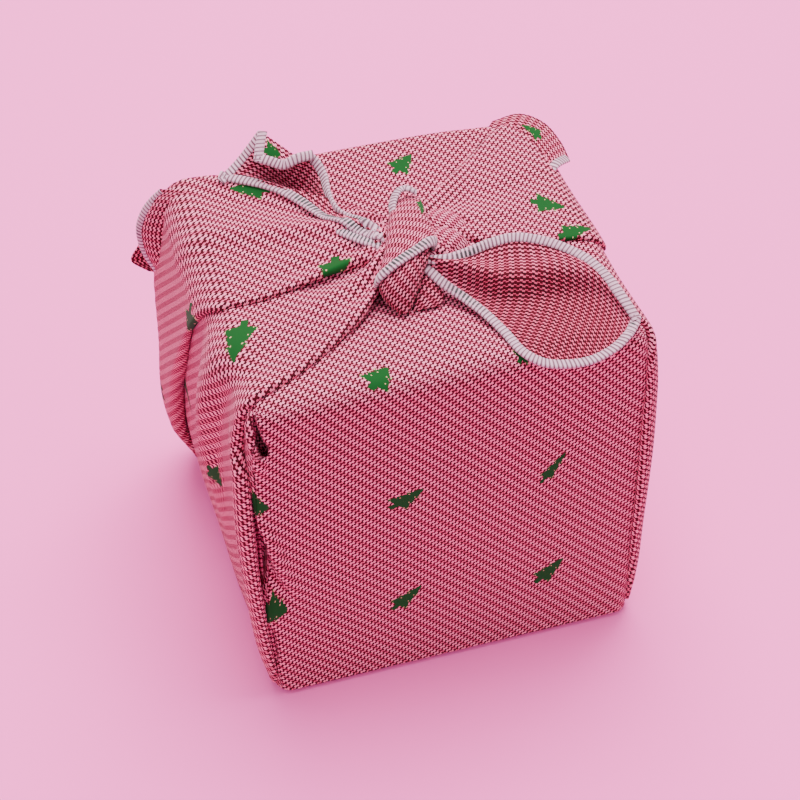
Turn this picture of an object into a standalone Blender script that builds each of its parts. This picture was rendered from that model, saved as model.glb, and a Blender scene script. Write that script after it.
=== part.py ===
"""Furoshiki wrap: one square cloth folded round a plain box and tied on top.

The cloth lies diagonally to the box. Two of its corners are folded over the top from the front and
the back, the other two come up the sides as wings, are tied in a square knot and end in two tails.
All numbers are millimetres until they reach a mesh. X runs right along the front, Y runs back,
Z runs up, and the origin is the middle of the underside.
"""

import bpy
import bmesh
import numpy as np
from math import cos, pi, radians, sin

MM = 0.001

# The wrapped block, measured over the cloth
WIDTH = 120.0
DEPTH = 108.0
HEIGHT = 120.0
EDGE = 5.0            # rounding of the cloth over the box's edges
FOOT_EDGE = 1.8       # and round the underside, where the block's weight pulls it tight
WALL = 2.0            # one panel of cloth with its turned-in folds
INNER_EDGE = 2.5

# The carton under the cloth
CARTON_WIDTH = 110.0
CARTON_DEPTH = 102.8
CARTON_LOW = 2.4
CARTON_HIGH = 117.4
CARTON_EDGE = 6.0

FLAP = 2.0            # a loose layer of cloth: tails and ears
CLOTH_COLOUR = (0.58, 0.17, 0.25, 1.0)
CARTON_COLOUR = (0.45, 0.32, 0.20, 1.0)

# Half widths of the wrapped block at each height: the side folds make it widest half way up
BODY = [
    {"z": 0, "left": 58.5, "right": 59.2, "front": 55.4, "back": 54.8},
    {"z": 25, "left": 61.2, "right": 60.6, "front": 55.0, "back": 55.2},
    {"z": 60, "left": 62.5, "right": 61.2, "front": 55.0, "back": 55.8},
    {"z": 95, "left": 62.2, "right": 61.2, "front": 54.6, "back": 55.6},
    {"z": 120, "left": 60.3, "right": 59.0, "front": 54.0, "back": 55.0},
]

# Side wings. "out" is the distance from the middle of the top, outwards and down the side (the top
# edge is at 60 and the foot at 180), "front" and "rear" are the layer's two borders as y (a border
# past 54 goes round the vertical edge), "rise" is the height of its face over the panel below and
# "under" that of its underside, which is below the panel's face where the layer lies on the panel.
LEFT_FRONT_LAYER = [
    {"out": 7, "front": -9, "rear": 7, "rise": 9, "under": 6.3},
    {"out": 15, "front": -16, "rear": 8, "rise": 6, "under": 3.3},
    {"out": 25, "front": -25.5, "rear": 7, "rise": 3.2, "under": 0.5},
    {"out": 37, "front": -35.5, "rear": 3, "rise": 2, "under": -0.7},
    {"out": 50, "front": -42.5, "rear": -2, "rise": 1.8, "under": -0.7},
    {"out": 60, "front": -48.5, "rear": 2, "rise": 2, "under": -0.7},
    {"out": 72, "front": -51, "rear": 16, "rise": 2.6, "under": -0.7},
    {"out": 95, "front": -51.5, "rear": 34, "rise": 3, "under": -0.7},
    {"out": 120, "front": -52, "rear": 44, "rise": 2.8, "under": -0.7},
    {"out": 145, "front": -53, "rear": 50, "rise": 2.4, "under": -0.7},
    {"out": 165, "front": -54, "rear": 52, "rise": 1.8, "under": -0.7},
    {"out": 176, "front": -51.5, "rear": 51.5, "rise": 1.2, "under": -0.7},
]
LEFT_REAR_LAYER = [
    {"out": 6, "front": 5, "rear": 15, "rise": 9.5, "under": 6.8},
    {"out": 14, "front": 3.5, "rear": 23, "rise": 7, "under": 4.3},
    {"out": 25, "front": -0.5, "rear": 33, "rise": 4.6, "under": 1.9},
    {"out": 37, "front": -6, "rear": 44, "rise": 3.4, "under": -0.7},
    {"out": 50, "front": -11.5, "rear": 51, "rise": 3.2, "under": -0.7},
    {"out": 60, "front": -13, "rear": 53.9, "rise": 3.8, "under": -0.7},
    {"out": 70, "front": -4, "rear": 60, "rise": 5.4, "under": 2.6},
    {"out": 88, "front": 15, "rear": 64, "rise": 6.6, "under": 3.8},
    {"out": 110, "front": 31, "rear": 65, "rise": 7.4, "under": 4.6},
    {"out": 135, "front": 43, "rear": 66, "rise": 8.2, "under": 5.4},
    {"out": 155, "front": 47, "rear": 65, "rise": 8.6, "under": 5.8},
    {"out": 168, "front": 50, "rear": 62, "rise": 7.2, "under": 3.8},
    {"out": 177, "front": 52, "rear": 59, "rise": 4.2, "under": -0.7},
]
RIGHT_FRONT_LAYER = [
    {"out": 9, "front": -11, "rear": 6, "rise": 9, "under": 6.3},
    {"out": 17, "front": -16, "rear": 9.5, "rise": 6, "under": 3.3},
    {"out": 28, "front": -24, "rear": 16, "rise": 3.6, "under": -0.7},
    {"out": 39, "front": -33, "rear": 23.5, "rise": 2.6, "under": -0.7},
    {"out": 51, "front": -42, "rear": 28.5, "rise": 2.2, "under": -0.7},
    {"out": 60, "front": -49.5, "rear": 30, "rise": 2.2, "under": -0.7},
    {"out": 72, "front": -56, "rear": 36, "rise": 2.4, "under": -0.7},
    {"out": 95, "front": -57.5, "rear": 44, "rise": 2.4, "under": -0.7},
    {"out": 120, "front": -57.5, "rear": 50, "rise": 2.4, "under": -0.7},
    {"out": 145, "front": -57, "rear": 53, "rise": 2, "under": -0.7},
    {"out": 165, "front": -55, "rear": 53, "rise": 1.5, "under": -0.7},
    {"out": 176, "front": -51.5, "rear": 51.5, "rise": 0.9, "under": -0.7},
]
RIGHT_REAR_LAYER = [
    {"out": 8, "front": 2, "rear": 12, "rise": 7.5, "under": 4.8},
    {"out": 17, "front": 6, "rear": 22, "rise": 4.6, "under": 1.9},
    {"out": 28, "front": 12, "rear": 32, "rise": 2.6, "under": -0.7},
    {"out": 39, "front": 19, "rear": 42, "rise": 1.6, "under": -0.7},
    {"out": 51, "front": 24, "rear": 51, "rise": 1.4, "under": -0.7},
    {"out": 60, "front": 26, "rear": 53.9, "rise": 1.5, "under": -0.7},
    {"out": 72, "front": 32, "rear": 59, "rise": 1.8, "under": -0.7},
    {"out": 95, "front": 40, "rear": 62, "rise": 2.2, "under": -0.7},
    {"out": 120, "front": 46, "rear": 62, "rise": 2.2, "under": -0.7},
    {"out": 145, "front": 49, "rear": 61, "rise": 1.8, "under": -0.7},
    {"out": 165, "front": 50, "rear": 58, "rise": 1.3, "under": -0.7},
    {"out": 177, "front": 50, "rear": 55, "rise": 0.8, "under": -0.7},
]

# Loose sheets. Each row is a section from one border of the sheet, over its middle, to the other.
SECTION = ("section", "near", "middle", "far")
RIGHT_TAIL = [
    ("in knot", (-1, -5, 127.5), (-1, -6.5, 126.5), (-2, -8, 125.5)),
    ("root", (4.3, -14.9, 129.5), (4.1, -15.4, 128.0), (3.4, -16.8, 127.0)),
    ("neck", (8.9, -17.7, 132.0), (9.1, -22.0, 127.0), (8.9, -27.4, 124.5)),
    ("a", (18.7, -16.2, 133.0), (15.3, -24.8, 125.0), (12.8, -34.1, 122.8)),
    ("b", (27.8, -15.0, 132.5), (22.0, -27.9, 123.5), (16.2, -42.3, 121.9)),
    ("c", (36.1, -15.6, 131.0), (30.1, -30.5, 122.8), (20.0, -48.9, 121.6)),
    ("d", (43.7, -18.4, 129.0), (38.8, -30.6, 122.8), (24.9, -54.7, 121.2)),
    ("e", (49.6, -24.1, 127.0), (45.5, -33.7, 122.8), (31.4, -57.9, 120.3)),
    ("f", (53.0, -32.5, 125.5), (48.9, -41.2, 122.7), (39.1, -58.3, 120.4)),
    ("g", (55.3, -41.4, 124.2), (51.7, -47.6, 122.6), (47.1, -56.6, 121.2)),
    ("tip", (56.5, -49.5, 123.2), (55.0, -51.1, 122.6), (53.0, -53.9, 122.0)),
]
LEFT_TAIL = [
    ("in knot", (-1, -6, 126.5), (-1, -2, 126.5), (-1, 1, 127)),
    ("root", (-7.9, -2.4, 128.5), (-7.9, 0.8, 128.0), (-8.4, 2.1, 129.0)),
    ("neck", (-12.2, 2.1, 128.8), (-10.7, 7.5, 127.0), (-8.9, 8.9, 130.5)),
    ("a", (-16.0, 7.3, 128.8), (-13.7, 12.2, 126.5), (-13.5, 10.5, 130.0)),
    ("b", (-19.6, 13.3, 128.6), (-16.3, 18.9, 126.0), (-15.3, 17.4, 130.3)),
    ("c", (-22.8, 19.9, 128.3), (-18.0, 26.4, 125.5), (-15.7, 24.9, 131.0)),
    ("d", (-26.4, 26.6, 128.0), (-20.4, 34.0, 125.5), (-14.6, 33.1, 132.5)),
    ("e", (-30.3, 32.1, 128.0), (-23.4, 39.2, 126.3), (-16.8, 38.7, 135.5)),
    ("f", (-34.4, 36.1, 128.0), (-26.2, 43.2, 128.0), (-22.1, 37.9, 136.5)),
    ("g", (-38.9, 39.6, 128.0), (-31.7, 43.5, 130.5), (-25.6, 41.0, 138.5)),
    ("h", (-42.9, 42.5, 128.0), (-36.8, 44.6, 132.0), (-28.8, 45.3, 140.0)),
    ("tip", (-46.1, 45.1, 128.0), (-38.8, 47.7, 133.0), (-31.7, 48.6, 141.0)),
]
# The left tail's far border turned over towards the front
LEFT_LAPEL = [
    ("e", (-17.4, 39.0, 135.2), (-17.4, 38.5, 134.7), (-17.4, 37.9, 134.2)),
    ("f", (-22.1, 37.9, 136.5), (-22.0, 37.3, 136.0), (-21.9, 36.7, 135.3)),
    ("g", (-25.6, 41.0, 138.5), (-26.3, 38.0, 136.6), (-27.1, 35.9, 134.5)),
    ("h", (-28.8, 45.3, 140.0), (-30.2, 41.5, 137.6), (-31.4, 38.7, 135.0)),
    ("tip", (-31.4, 47.6, 140.2), (-33.1, 44.0, 138.2), (-34.8, 40.4, 136.0)),
]
# Corners of the cloth's folds that stand off the box's two rear top corners
LEFT_EAR = [
    ("top", (-52, 47, 121.5), (-58, 51, 123.0), (-63, 53.5, 123.0)),
    ("a", (-55, 50, 119.0), (-62, 54, 119.5), (-68, 54.5, 118.5)),
    ("b", (-57, 51, 112.0), (-64, 55, 111.5), (-71, 54.5, 110.0)),
    ("c", (-58, 52, 104.0), (-65, 56, 102.5), (-70.5, 54.5, 101.5)),
    ("d", (-58, 52, 96.0), (-66, 56, 95.5), (-74.0, 55.0, 95.5)),
    ("foot", (-59, 52, 89.0), (-64, 55, 90.0), (-69.0, 55.0, 91.5)),
]
RIGHT_EAR = [
    ("rear", (40, 47, 120.0), (44, 51, 122.8), (47, 54.5, 123.5)),
    ("a", (48, 43, 119.8), (52, 49.5, 122.6), (56, 54.5, 125.0)),
    ("b", (52, 39, 119.5), (57.0, 44, 121.2), (62.5, 49, 123.6)),
    ("front", (53, 33, 119.0), (59.0, 37.0, 120.6), (65.5, 40, 121.6)),
]

# The knot's upper band, from behind the knot over its top to the lobe at the front
KNOT_BAND = [
    {"x": 10.0, "y": 25, "z": 121.0, "half": 4.0, "thick": 3.0, "lean": 14},
    {"x": 8.8, "y": 20, "z": 126.0, "half": 7.5, "thick": 4.5, "lean": 16},
    {"x": 6.5, "y": 14, "z": 130.0, "half": 8.5, "thick": 5.0, "lean": 18},
    {"x": 3.0, "y": 4, "z": 133.0, "half": 9.0, "thick": 6.0, "lean": 22},
    {"x": -0.8, "y": -6, "z": 134.5, "half": 9.5, "thick": 6.5, "lean": 26},
    {"x": -3.2, "y": -14, "z": 133.5, "half": 10.0, "thick": 6.5, "lean": 26},
    {"x": -5.2, "y": -19.5, "z": 129.5, "half": 8.5, "thick": 6.0, "lean": 22},
    {"x": -7.0, "y": -22.5, "z": 125.0, "half": 6.0, "thick": 5.0, "lean": 16},
    {"x": -8.0, "y": -24.5, "z": 121.5, "half": 2.5, "thick": 4.0, "lean": 10},
]
# Rounded bunches of cloth inside and beside the knot
BUNCHES = [
    {"x": 0.0, "y": -3.0, "z": 125.5, "rx": 13, "ry": 15, "rz": 8.0},
    {"x": 7.0, "y": -16.0, "z": 123.0, "rx": 8, "ry": 8, "rz": 5.5},
    {"x": 11.5, "y": 3.0, "z": 125.0, "rx": 9, "ry": 9, "rz": 6.0},
]

# Mouths between the front panel and the left wing's fold, which open the hollow round the carton
POCKETS = [
    {"name": "upper_pocket", "x": -59.4, "z": 109.5, "wide": 3.0, "tall": 17.0, "turn": -4},
    {"name": "lower_pocket", "x": -58.8, "z": 23.5, "wide": 2.8, "tall": 13.0, "turn": 6},
]


def curve(rows, key, value, at):
    """A smooth value between the rows, which are in order of key."""
    xs = [row[key] for row in rows]
    ys = [row[value] for row in rows]
    at = min(max(at, xs[0]), xs[-1])
    i = min(max(int(np.searchsorted(xs, at)) - 1, 0), len(xs) - 2)
    span = xs[i + 1] - xs[i]
    t = (at - xs[i]) / span

    def slope(k):
        if k == 0 or k == len(xs) - 1:
            j = max(k - 1, 0)
            return (ys[j + 1] - ys[j]) / (xs[j + 1] - xs[j])
        before = (ys[k] - ys[k - 1]) / (xs[k] - xs[k - 1])
        after = (ys[k + 1] - ys[k]) / (xs[k + 1] - xs[k])
        if before * after <= 0:
            return 0.0
        return 2 * before * after / (before + after)

    h00 = 2 * t**3 - 3 * t**2 + 1
    h10 = t**3 - 2 * t**2 + t
    h01 = -2 * t**3 + 3 * t**2
    h11 = t**3 - t**2
    return h00 * ys[i] + h10 * span * slope(i) + h01 * ys[i + 1] + h11 * span * slope(i + 1)


def crown(x, y):
    """The top panel's soft swelling, highest along the rear edge."""
    across = max(0.0, 1 - abs(x / 66) ** 3)
    return across * (0.5 + 5.8 * max(0.0, (y + 20) / 74) ** 1.5)


def on_body(x, y, z, rise, edge=EDGE, inset=0.0):
    """The point of the wrapped block over a point of the plain cuboid, raised along its normal."""
    half = np.array([WIDTH / 2 - inset, DEPTH / 2 - inset, HEIGHT / 2 - inset])
    at = np.array([x, y, z - HEIGHT / 2])
    round_off = np.array([edge, edge, edge if z > HEIGHT / 2 else min(edge, FOOT_EDGE)])
    core = np.clip(at, -(half - round_off), half - round_off)
    away = (at - core) / round_off
    away /= np.linalg.norm(away)
    outward = away / round_off
    point = core + away * round_off + outward / np.linalg.norm(outward) * rise
    px, py, pz = point[0], point[1], point[2] + HEIGHT / 2
    px *= curve(BODY, "z", "left" if px < 0 else "right", pz) / (WIDTH / 2)
    py *= curve(BODY, "z", "front" if py < 0 else "back", pz) / (DEPTH / 2)
    if pz > HEIGHT - 12:
        pz += crown(px, py) * (pz - HEIGHT + 12) / 12
    return np.array([px, py, pz])


def on_side(side, out, along, rise):
    """on_body by the wings' own measures: side is -1 for left and 1 for right."""
    x = min(out, WIDTH / 2)
    z = HEIGHT - max(0.0, out - WIDTH / 2)
    y = along
    limit = DEPTH / 2
    if out > WIDTH / 2 and abs(along) > limit:
        x = WIDTH / 2 - (abs(along) - limit)
        y = limit * np.sign(along)
    else:
        y = min(max(y, -limit), limit)
    return on_body(side * x, y, z, rise)


def mesh_object(name, vertices, faces):
    """A hidden helper object from points in millimetres, with its faces turned outwards."""
    mesh = bpy.data.meshes.new(name)
    mesh.from_pydata([tuple(float(c) * MM for c in v) for v in vertices], [], faces)
    bm = bmesh.new()
    bm.from_mesh(mesh)
    bmesh.ops.remove_doubles(bm, verts=bm.verts, dist=0.00001)
    bmesh.ops.recalc_face_normals(bm, faces=bm.faces)
    if bm.calc_volume(signed=True) < 0:
        bmesh.ops.reverse_faces(bm, faces=bm.faces)
    bmesh.ops.triangulate(bm, faces=bm.faces)
    bm.to_mesh(mesh)
    bm.free()
    helper = bpy.data.objects.new(name, mesh)
    bpy.context.scene.collection.objects.link(helper)
    return helper


def spaced(half, edge, step):
    """Grid lines across a face: even in the flat part, closer over the rounded edges."""
    flat = half - edge
    count = max(1, round(2 * flat / step))
    inner = [-flat + 2 * flat * i / count for i in range(count + 1)]
    bend = [half - edge * (1 - t) for t in (0.42, 0.79)]
    return [-half] + [-b for b in reversed(bend)] + inner + bend + [half]


def block(name, inset, edge, step):
    """The wrapped block as a closed grid, or the hollow inside it when inset is the wall."""
    half = (WIDTH / 2 - inset, DEPTH / 2 - inset, HEIGHT / 2 - inset)
    lines = [spaced(h, edge, step) for h in half]
    vertices, faces, seen = [], [], {}

    def vertex(x, y, z):
        key = (round(x, 4), round(y, 4), round(z, 4))
        if key not in seen:
            seen[key] = len(vertices)
            vertices.append(on_body(x, y, z + HEIGHT / 2, 0.0, edge, inset))
        return seen[key]

    for axis in range(3):
        u, v = [a for a in range(3) if a != axis]
        for side in (-half[axis], half[axis]):
            for i in range(len(lines[u]) - 1):
                for j in range(len(lines[v]) - 1):
                    corners = []
                    for a, b in ((i, j), (i + 1, j), (i + 1, j + 1), (i, j + 1)):
                        at = [0.0, 0.0, 0.0]
                        at[axis], at[u], at[v] = side, lines[u][a], lines[v][b]
                        corners.append(vertex(*at))
                    faces.append(corners)
    return mesh_object(name, vertices, faces)


def closed_sheet(name, upper, lower):
    """A solid sheet between two grids of points."""
    rows, columns = len(upper), len(upper[0])
    vertices = [p for row in upper for p in row] + [p for row in lower for p in row]
    base = rows * columns
    faces = []
    for i in range(rows - 1):
        for j in range(columns - 1):
            a, b = i * columns + j, i * columns + j + 1
            c, d = (i + 1) * columns + j + 1, (i + 1) * columns + j
            faces += [(a, b, c, d), (base + d, base + c, base + b, base + a)]
    border = [(0, j) for j in range(columns)] + [(i, columns - 1) for i in range(1, rows)]
    border += [(rows - 1, j) for j in range(columns - 2, -1, -1)] + [(i, 0) for i in range(rows - 2, 0, -1)]
    ring = [i * columns + j for i, j in border]
    for a, b in zip(ring, ring[1:] + ring[:1]):
        faces.append((b, a, base + a, base + b))
    return mesh_object(name, vertices, faces)


def layer(name, side, rows, stations, across):
    """A wing's layer: bedded in the panels where it lies on them, a loose flap where it lifts."""
    upper, lower = [], []
    outs = [row["out"] for row in rows]
    marks = []
    for a, b in zip(outs, outs[1:]):
        count = max(1, round((b - a) / stations))
        marks += [a + (b - a) * k / count for k in range(count)]
    marks.append(outs[-1])
    for out in marks:
        front, rear = curve(rows, "out", "front", out), curve(rows, "out", "rear", out)
        rise = curve(rows, "out", "rise", out)
        top, under = [], []
        for k in range(across + 1):
            share = k / across
            inset = min(1.2, (rear - front) / 6)
            along = front + (rear - front) * share
            if k == 1:
                along = front + inset
            if k == across - 1:
                along = rear - inset
            edge_drop = 0.45 if k in (0, across) else 1.0
            low = curve(rows, "out", "under", out)
            top.append(on_side(side, out, along, low + (rise - low) * edge_drop))
            under.append(on_side(side, out, along, low))
        upper.append(top)
        lower.append(under)
    return closed_sheet(name, upper, lower)


def smooth_points(points, count):
    """count points on a Catmull-Rom curve through the given ones."""
    points = [np.array(p, float) for p in points]
    full = [2 * points[0] - points[1]] + points + [2 * points[-1] - points[-2]]
    out = []
    for k in range(count):
        at = k * (len(points) - 1) / (count - 1)
        i = min(int(at), len(points) - 2)
        t = at - i
        a, b, c, d = full[i:i + 4]
        out.append(0.5 * (2 * b + (c - a) * t + (2 * a - 5 * b + 4 * c - d) * t**2
                          + (3 * b - a - 3 * c + d) * t**3))
    return out


def loose(name, rows, along, across, thick=FLAP):
    """A loose sheet through its sections, thickened evenly to both sides."""
    sections = [smooth_points(row[1:], across) for row in rows]
    grid = np.array([smooth_points([s[j] for s in sections], along) for j in range(across)])
    du = np.gradient(grid, axis=0)
    dv = np.gradient(grid, axis=1)
    normal = np.cross(du, dv)
    normal /= np.linalg.norm(normal, axis=2, keepdims=True)
    upper = grid + normal * thick / 2
    lower = grid - normal * thick / 2
    return closed_sheet(name, [list(r) for r in upper], [list(r) for r in lower])


def band(name, rows, sides=12):
    """A band of lens-like section along the rows."""
    centres = [np.array([r["x"], r["y"], r["z"]], float) for r in rows]
    vertices, faces = [], []
    for i, row in enumerate(rows):
        ahead = centres[min(i + 1, len(rows) - 1)] - centres[max(i - 1, 0)]
        ahead /= np.linalg.norm(ahead)
        lean = radians(row["lean"])
        across = np.array([cos(lean), -sin(lean) * 0.6, sin(lean) * 0.25])
        across -= ahead * np.dot(across, ahead)
        across /= np.linalg.norm(across)
        up = np.cross(ahead, across)
        for k in range(sides):
            a = 2 * pi * k / sides
            flat = np.sign(cos(a)) * abs(cos(a)) ** 0.8 * row["half"]
            high = np.sign(sin(a)) * abs(sin(a)) ** 0.8 * row["thick"] / 2
            vertices.append(centres[i] + across * flat + up * high)
    for i in range(len(rows) - 1):
        for k in range(sides):
            n = (k + 1) % sides
            faces.append((i * sides + k, i * sides + n, (i + 1) * sides + n, (i + 1) * sides + k))
    faces.append(tuple(range(sides)))
    faces.append(tuple(reversed(range((len(rows) - 1) * sides, len(rows) * sides))))
    return mesh_object(name, vertices, faces)


def bunch(name, row):
    """A rounded gather of cloth."""
    bm = bmesh.new()
    bmesh.ops.create_uvsphere(bm, u_segments=14, v_segments=8, radius=1.0)
    points = [(row["x"] + v.co.x * row["rx"], row["y"] + v.co.y * row["ry"], row["z"] + v.co.z * row["rz"])
              for v in bm.verts]
    faces = [[v.index for v in f.verts] for f in bm.faces]
    bm.free()
    return mesh_object(name, points, faces)


def pocket(row):
    """A cutter through the front left edge, lens-shaped and upright, from outside into the hollow."""
    sides, vertices, faces = 10, [], []
    turn = radians(row["turn"])
    for y in (-60.0, -47.0):
        for k in range(sides):
            a = 2 * pi * k / sides
            x, z = cos(a) * row["wide"] / 2, sin(a) * row["tall"] / 2
            shift = (y + 54) * 0.35
            vertices.append((row["x"] + shift + x * cos(turn) - z * sin(turn) * 0.3, y, row["z"] + z))
    for k in range(sides):
        n = (k + 1) % sides
        faces.append((k, n, sides + n, sides + k))
    faces += [tuple(range(sides)), tuple(reversed(range(sides, 2 * sides)))]
    return mesh_object(row["name"], vertices, faces)


def material(name, colour, roughness):
    made = bpy.data.materials.new(name)
    made.use_nodes = True
    shader = made.node_tree.nodes["Principled BSDF"]
    shader.inputs["Base Color"].default_value = colour
    shader.inputs["Roughness"].default_value = roughness
    shader.inputs["Metallic"].default_value = 0.0
    return made


def boolean(target, operation, helpers, name):
    """Joins the helpers to the target or cuts them from it. The helpers stay as hidden guides."""
    group = bpy.data.collections.new(name)
    bpy.context.scene.collection.children.link(group)
    for helper in helpers:
        group.objects.link(helper)
        bpy.context.scene.collection.objects.unlink(helper)
        helper.hide_render = True
        helper.display_type = "WIRE"
    modifier = target.modifiers.new(name, "BOOLEAN")
    modifier.operation = operation
    modifier.solver = "EXACT"
    modifier.operand_type = "COLLECTION"
    modifier.collection = group


def carton():
    """The plain box: a cuboid with soft edges."""
    half = (CARTON_WIDTH / 2, CARTON_DEPTH / 2, (CARTON_HIGH - CARTON_LOW) / 2)
    bm = bmesh.new()
    bmesh.ops.create_cube(bm, size=2.0)
    for v in bm.verts:
        v.co = tuple(c * h * MM for c, h in zip(v.co, half))
    bmesh.ops.bevel(bm, geom=list(bm.edges), offset=CARTON_EDGE * MM, affect="EDGES", segments=3,
                    profile=0.5, material=-1)
    mesh = bpy.data.meshes.new("box")
    bm.to_mesh(mesh)
    bm.free()
    box = bpy.data.objects.new("box", mesh)
    box.location.z = (CARTON_LOW + CARTON_HIGH) / 2 * MM
    bpy.context.scene.collection.objects.link(box)
    box.data.materials.append(material("carton", CARTON_COLOUR, 0.8))
    return box


for old in list(bpy.data.objects):
    bpy.data.objects.remove(old, do_unlink=True)

cloth = block("cloth", 0.0, EDGE, 12.0)
cloth.data.materials.append(material("cloth", CLOTH_COLOUR, 0.85))
layers = [
    layer("left_front_layer", -1, LEFT_FRONT_LAYER, 10.0, 6),
    layer("left_rear_layer", -1, LEFT_REAR_LAYER, 10.0, 6),
    layer("right_front_layer", 1, RIGHT_FRONT_LAYER, 11.0, 6),
    layer("right_rear_layer", 1, RIGHT_REAR_LAYER, 12.0, 5),
]
ears = [loose("left_ear", LEFT_EAR, 9, 5), loose("right_ear", RIGHT_EAR, 9, 5)]
knot = [band("knot_band", KNOT_BAND)] + [bunch(f"bunch_{n}", row) for n, row in enumerate(BUNCHES)]
tails = [loose("right_tail", RIGHT_TAIL, 16, 6), loose("left_tail", LEFT_TAIL, 16, 6),
         loose("left_lapel", LEFT_LAPEL, 8, 4, 1.4)]
boolean(cloth, "UNION", layers + ears + knot + tails, "join")
hollow = block("hollow", WALL, INNER_EDGE, 19.0)
boolean(cloth, "DIFFERENCE", [hollow] + [pocket(row) for row in POCKETS], "cut")
carton()
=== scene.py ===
# %% Setup
import math

import bpy
import bmesh
import numpy as np
from mathutils import Matrix, Vector
from mathutils.bvhtree import BVHTree


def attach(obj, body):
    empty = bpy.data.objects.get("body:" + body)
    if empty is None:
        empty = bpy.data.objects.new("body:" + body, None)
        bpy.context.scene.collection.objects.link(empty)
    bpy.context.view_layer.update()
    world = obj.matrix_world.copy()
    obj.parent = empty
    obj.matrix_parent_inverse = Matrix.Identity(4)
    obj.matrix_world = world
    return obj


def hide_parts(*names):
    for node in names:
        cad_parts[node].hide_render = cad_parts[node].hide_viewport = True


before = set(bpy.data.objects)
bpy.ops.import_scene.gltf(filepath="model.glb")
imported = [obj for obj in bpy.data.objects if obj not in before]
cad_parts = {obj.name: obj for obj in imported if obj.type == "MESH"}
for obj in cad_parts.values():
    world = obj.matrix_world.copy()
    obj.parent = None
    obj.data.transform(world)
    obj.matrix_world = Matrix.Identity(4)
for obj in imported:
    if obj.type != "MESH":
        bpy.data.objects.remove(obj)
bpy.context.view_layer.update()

MM = 0.001

# %% [markdown]
# # A furoshiki wrap
# A furoshiki is one square of cloth, overlocked round its four sides, that is folded diagonally round a
# box. Its front and back corners lie over the top. Its left and right corners come up the sides as wings,
# are tied in a square knot and end in two tails. Blender can drape a square with its cloth simulation, but
# a knot seldom simulates well, so here every fold is laid out by measure, from the box outwards: panels,
# wings, tails, knot, hems and last the colours.

# %% [markdown]
# ## The wrapped block
# Cloth pulled tight over a box is almost a box itself, a little fuller in the middle of each side. A
# bevelled cube would show that, but wings and tails have to lie on it as well. So the block is a function:
# it takes a point of a plain cuboid and a height, and returns the point that far over the wrapped block.
# The cuboid's half widths change with the height, and a smooth curve joins the measured ones.

# %% Size of the block
# in millimetres: the block over its cloth, the radius of its edges, and the thickness of the cloth
WIDTH, DEPTH, HEIGHT = 120.0, 108.0, 120.0
HALVES = (WIDTH / 2, DEPTH / 2, HEIGHT / 2)
EDGE, FOOT_EDGE = 5.0, 1.8
CLOTH = 0.6

# half widths to each side, at five heights
BODY = [
    {"z": 0, "left": 58.5, "right": 59.2, "front": 55.4, "back": 54.8},
    {"z": 25, "left": 61.2, "right": 60.6, "front": 55.0, "back": 55.2},
    {"z": 60, "left": 62.5, "right": 61.2, "front": 55.0, "back": 55.8},
    {"z": 95, "left": 62.2, "right": 61.2, "front": 54.6, "back": 55.6},
    {"z": 120, "left": 60.3, "right": 59.0, "front": 54.0, "back": 55.0},
]
print("block in mm:", WIDTH, DEPTH, HEIGHT)


# %% Smooth values between measures
def column(rows, key, value):
    """A smooth function through the rows, which are in order of key."""
    xs = np.array([r[key] for r in rows], float)
    ys = np.array([r[value] for r in rows], float)
    steps = np.diff(ys) / np.diff(xs)
    slopes = np.empty(len(xs))
    slopes[0], slopes[-1] = steps[0], steps[-1]
    for k in range(1, len(xs) - 1):
        a, b = steps[k - 1], steps[k]
        slopes[k] = 0.0 if a * b <= 0 else 2 * a * b / (a + b)

    def at(value_at):
        """The value on the curve; past the first and last rows it stays as it is there."""
        v = np.clip(np.asarray(value_at, float), xs[0], xs[-1])
        i = np.clip(np.searchsorted(xs, v) - 1, 0, len(xs) - 2)
        span = xs[i + 1] - xs[i]
        t = (v - xs[i]) / span
        return ((2 * t**3 - 3 * t**2 + 1) * ys[i] + (t**3 - 2 * t**2 + t) * span * slopes[i]
                + (3 * t**2 - 2 * t**3) * ys[i + 1] + (t**3 - t**2) * span * slopes[i + 1])
    return at


def smooth_step(t):
    """A soft step from 0 to 1 while t goes from 0 to 1."""
    t = np.clip(t, 0.0, 1.0)
    return t * t * (3 - 2 * t)


BODY_HALF = {name: column(BODY, "z", name) for name in ("left", "right", "front", "back")}
print("half width to the left at 30, 60 and 90 mm:", BODY_HALF["left"]([30, 60, 90]).round(1))

# %% [markdown]
# ## Creases
# Pulled cloth runs in soft ridges and valleys towards its knot. They could be sculpted, but a sculpted
# crease can't be moved later. Here each one is a line with a width and a height, and its profile is a bell
# curve. The top panel also swells a little, most along its rear edge.

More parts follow.
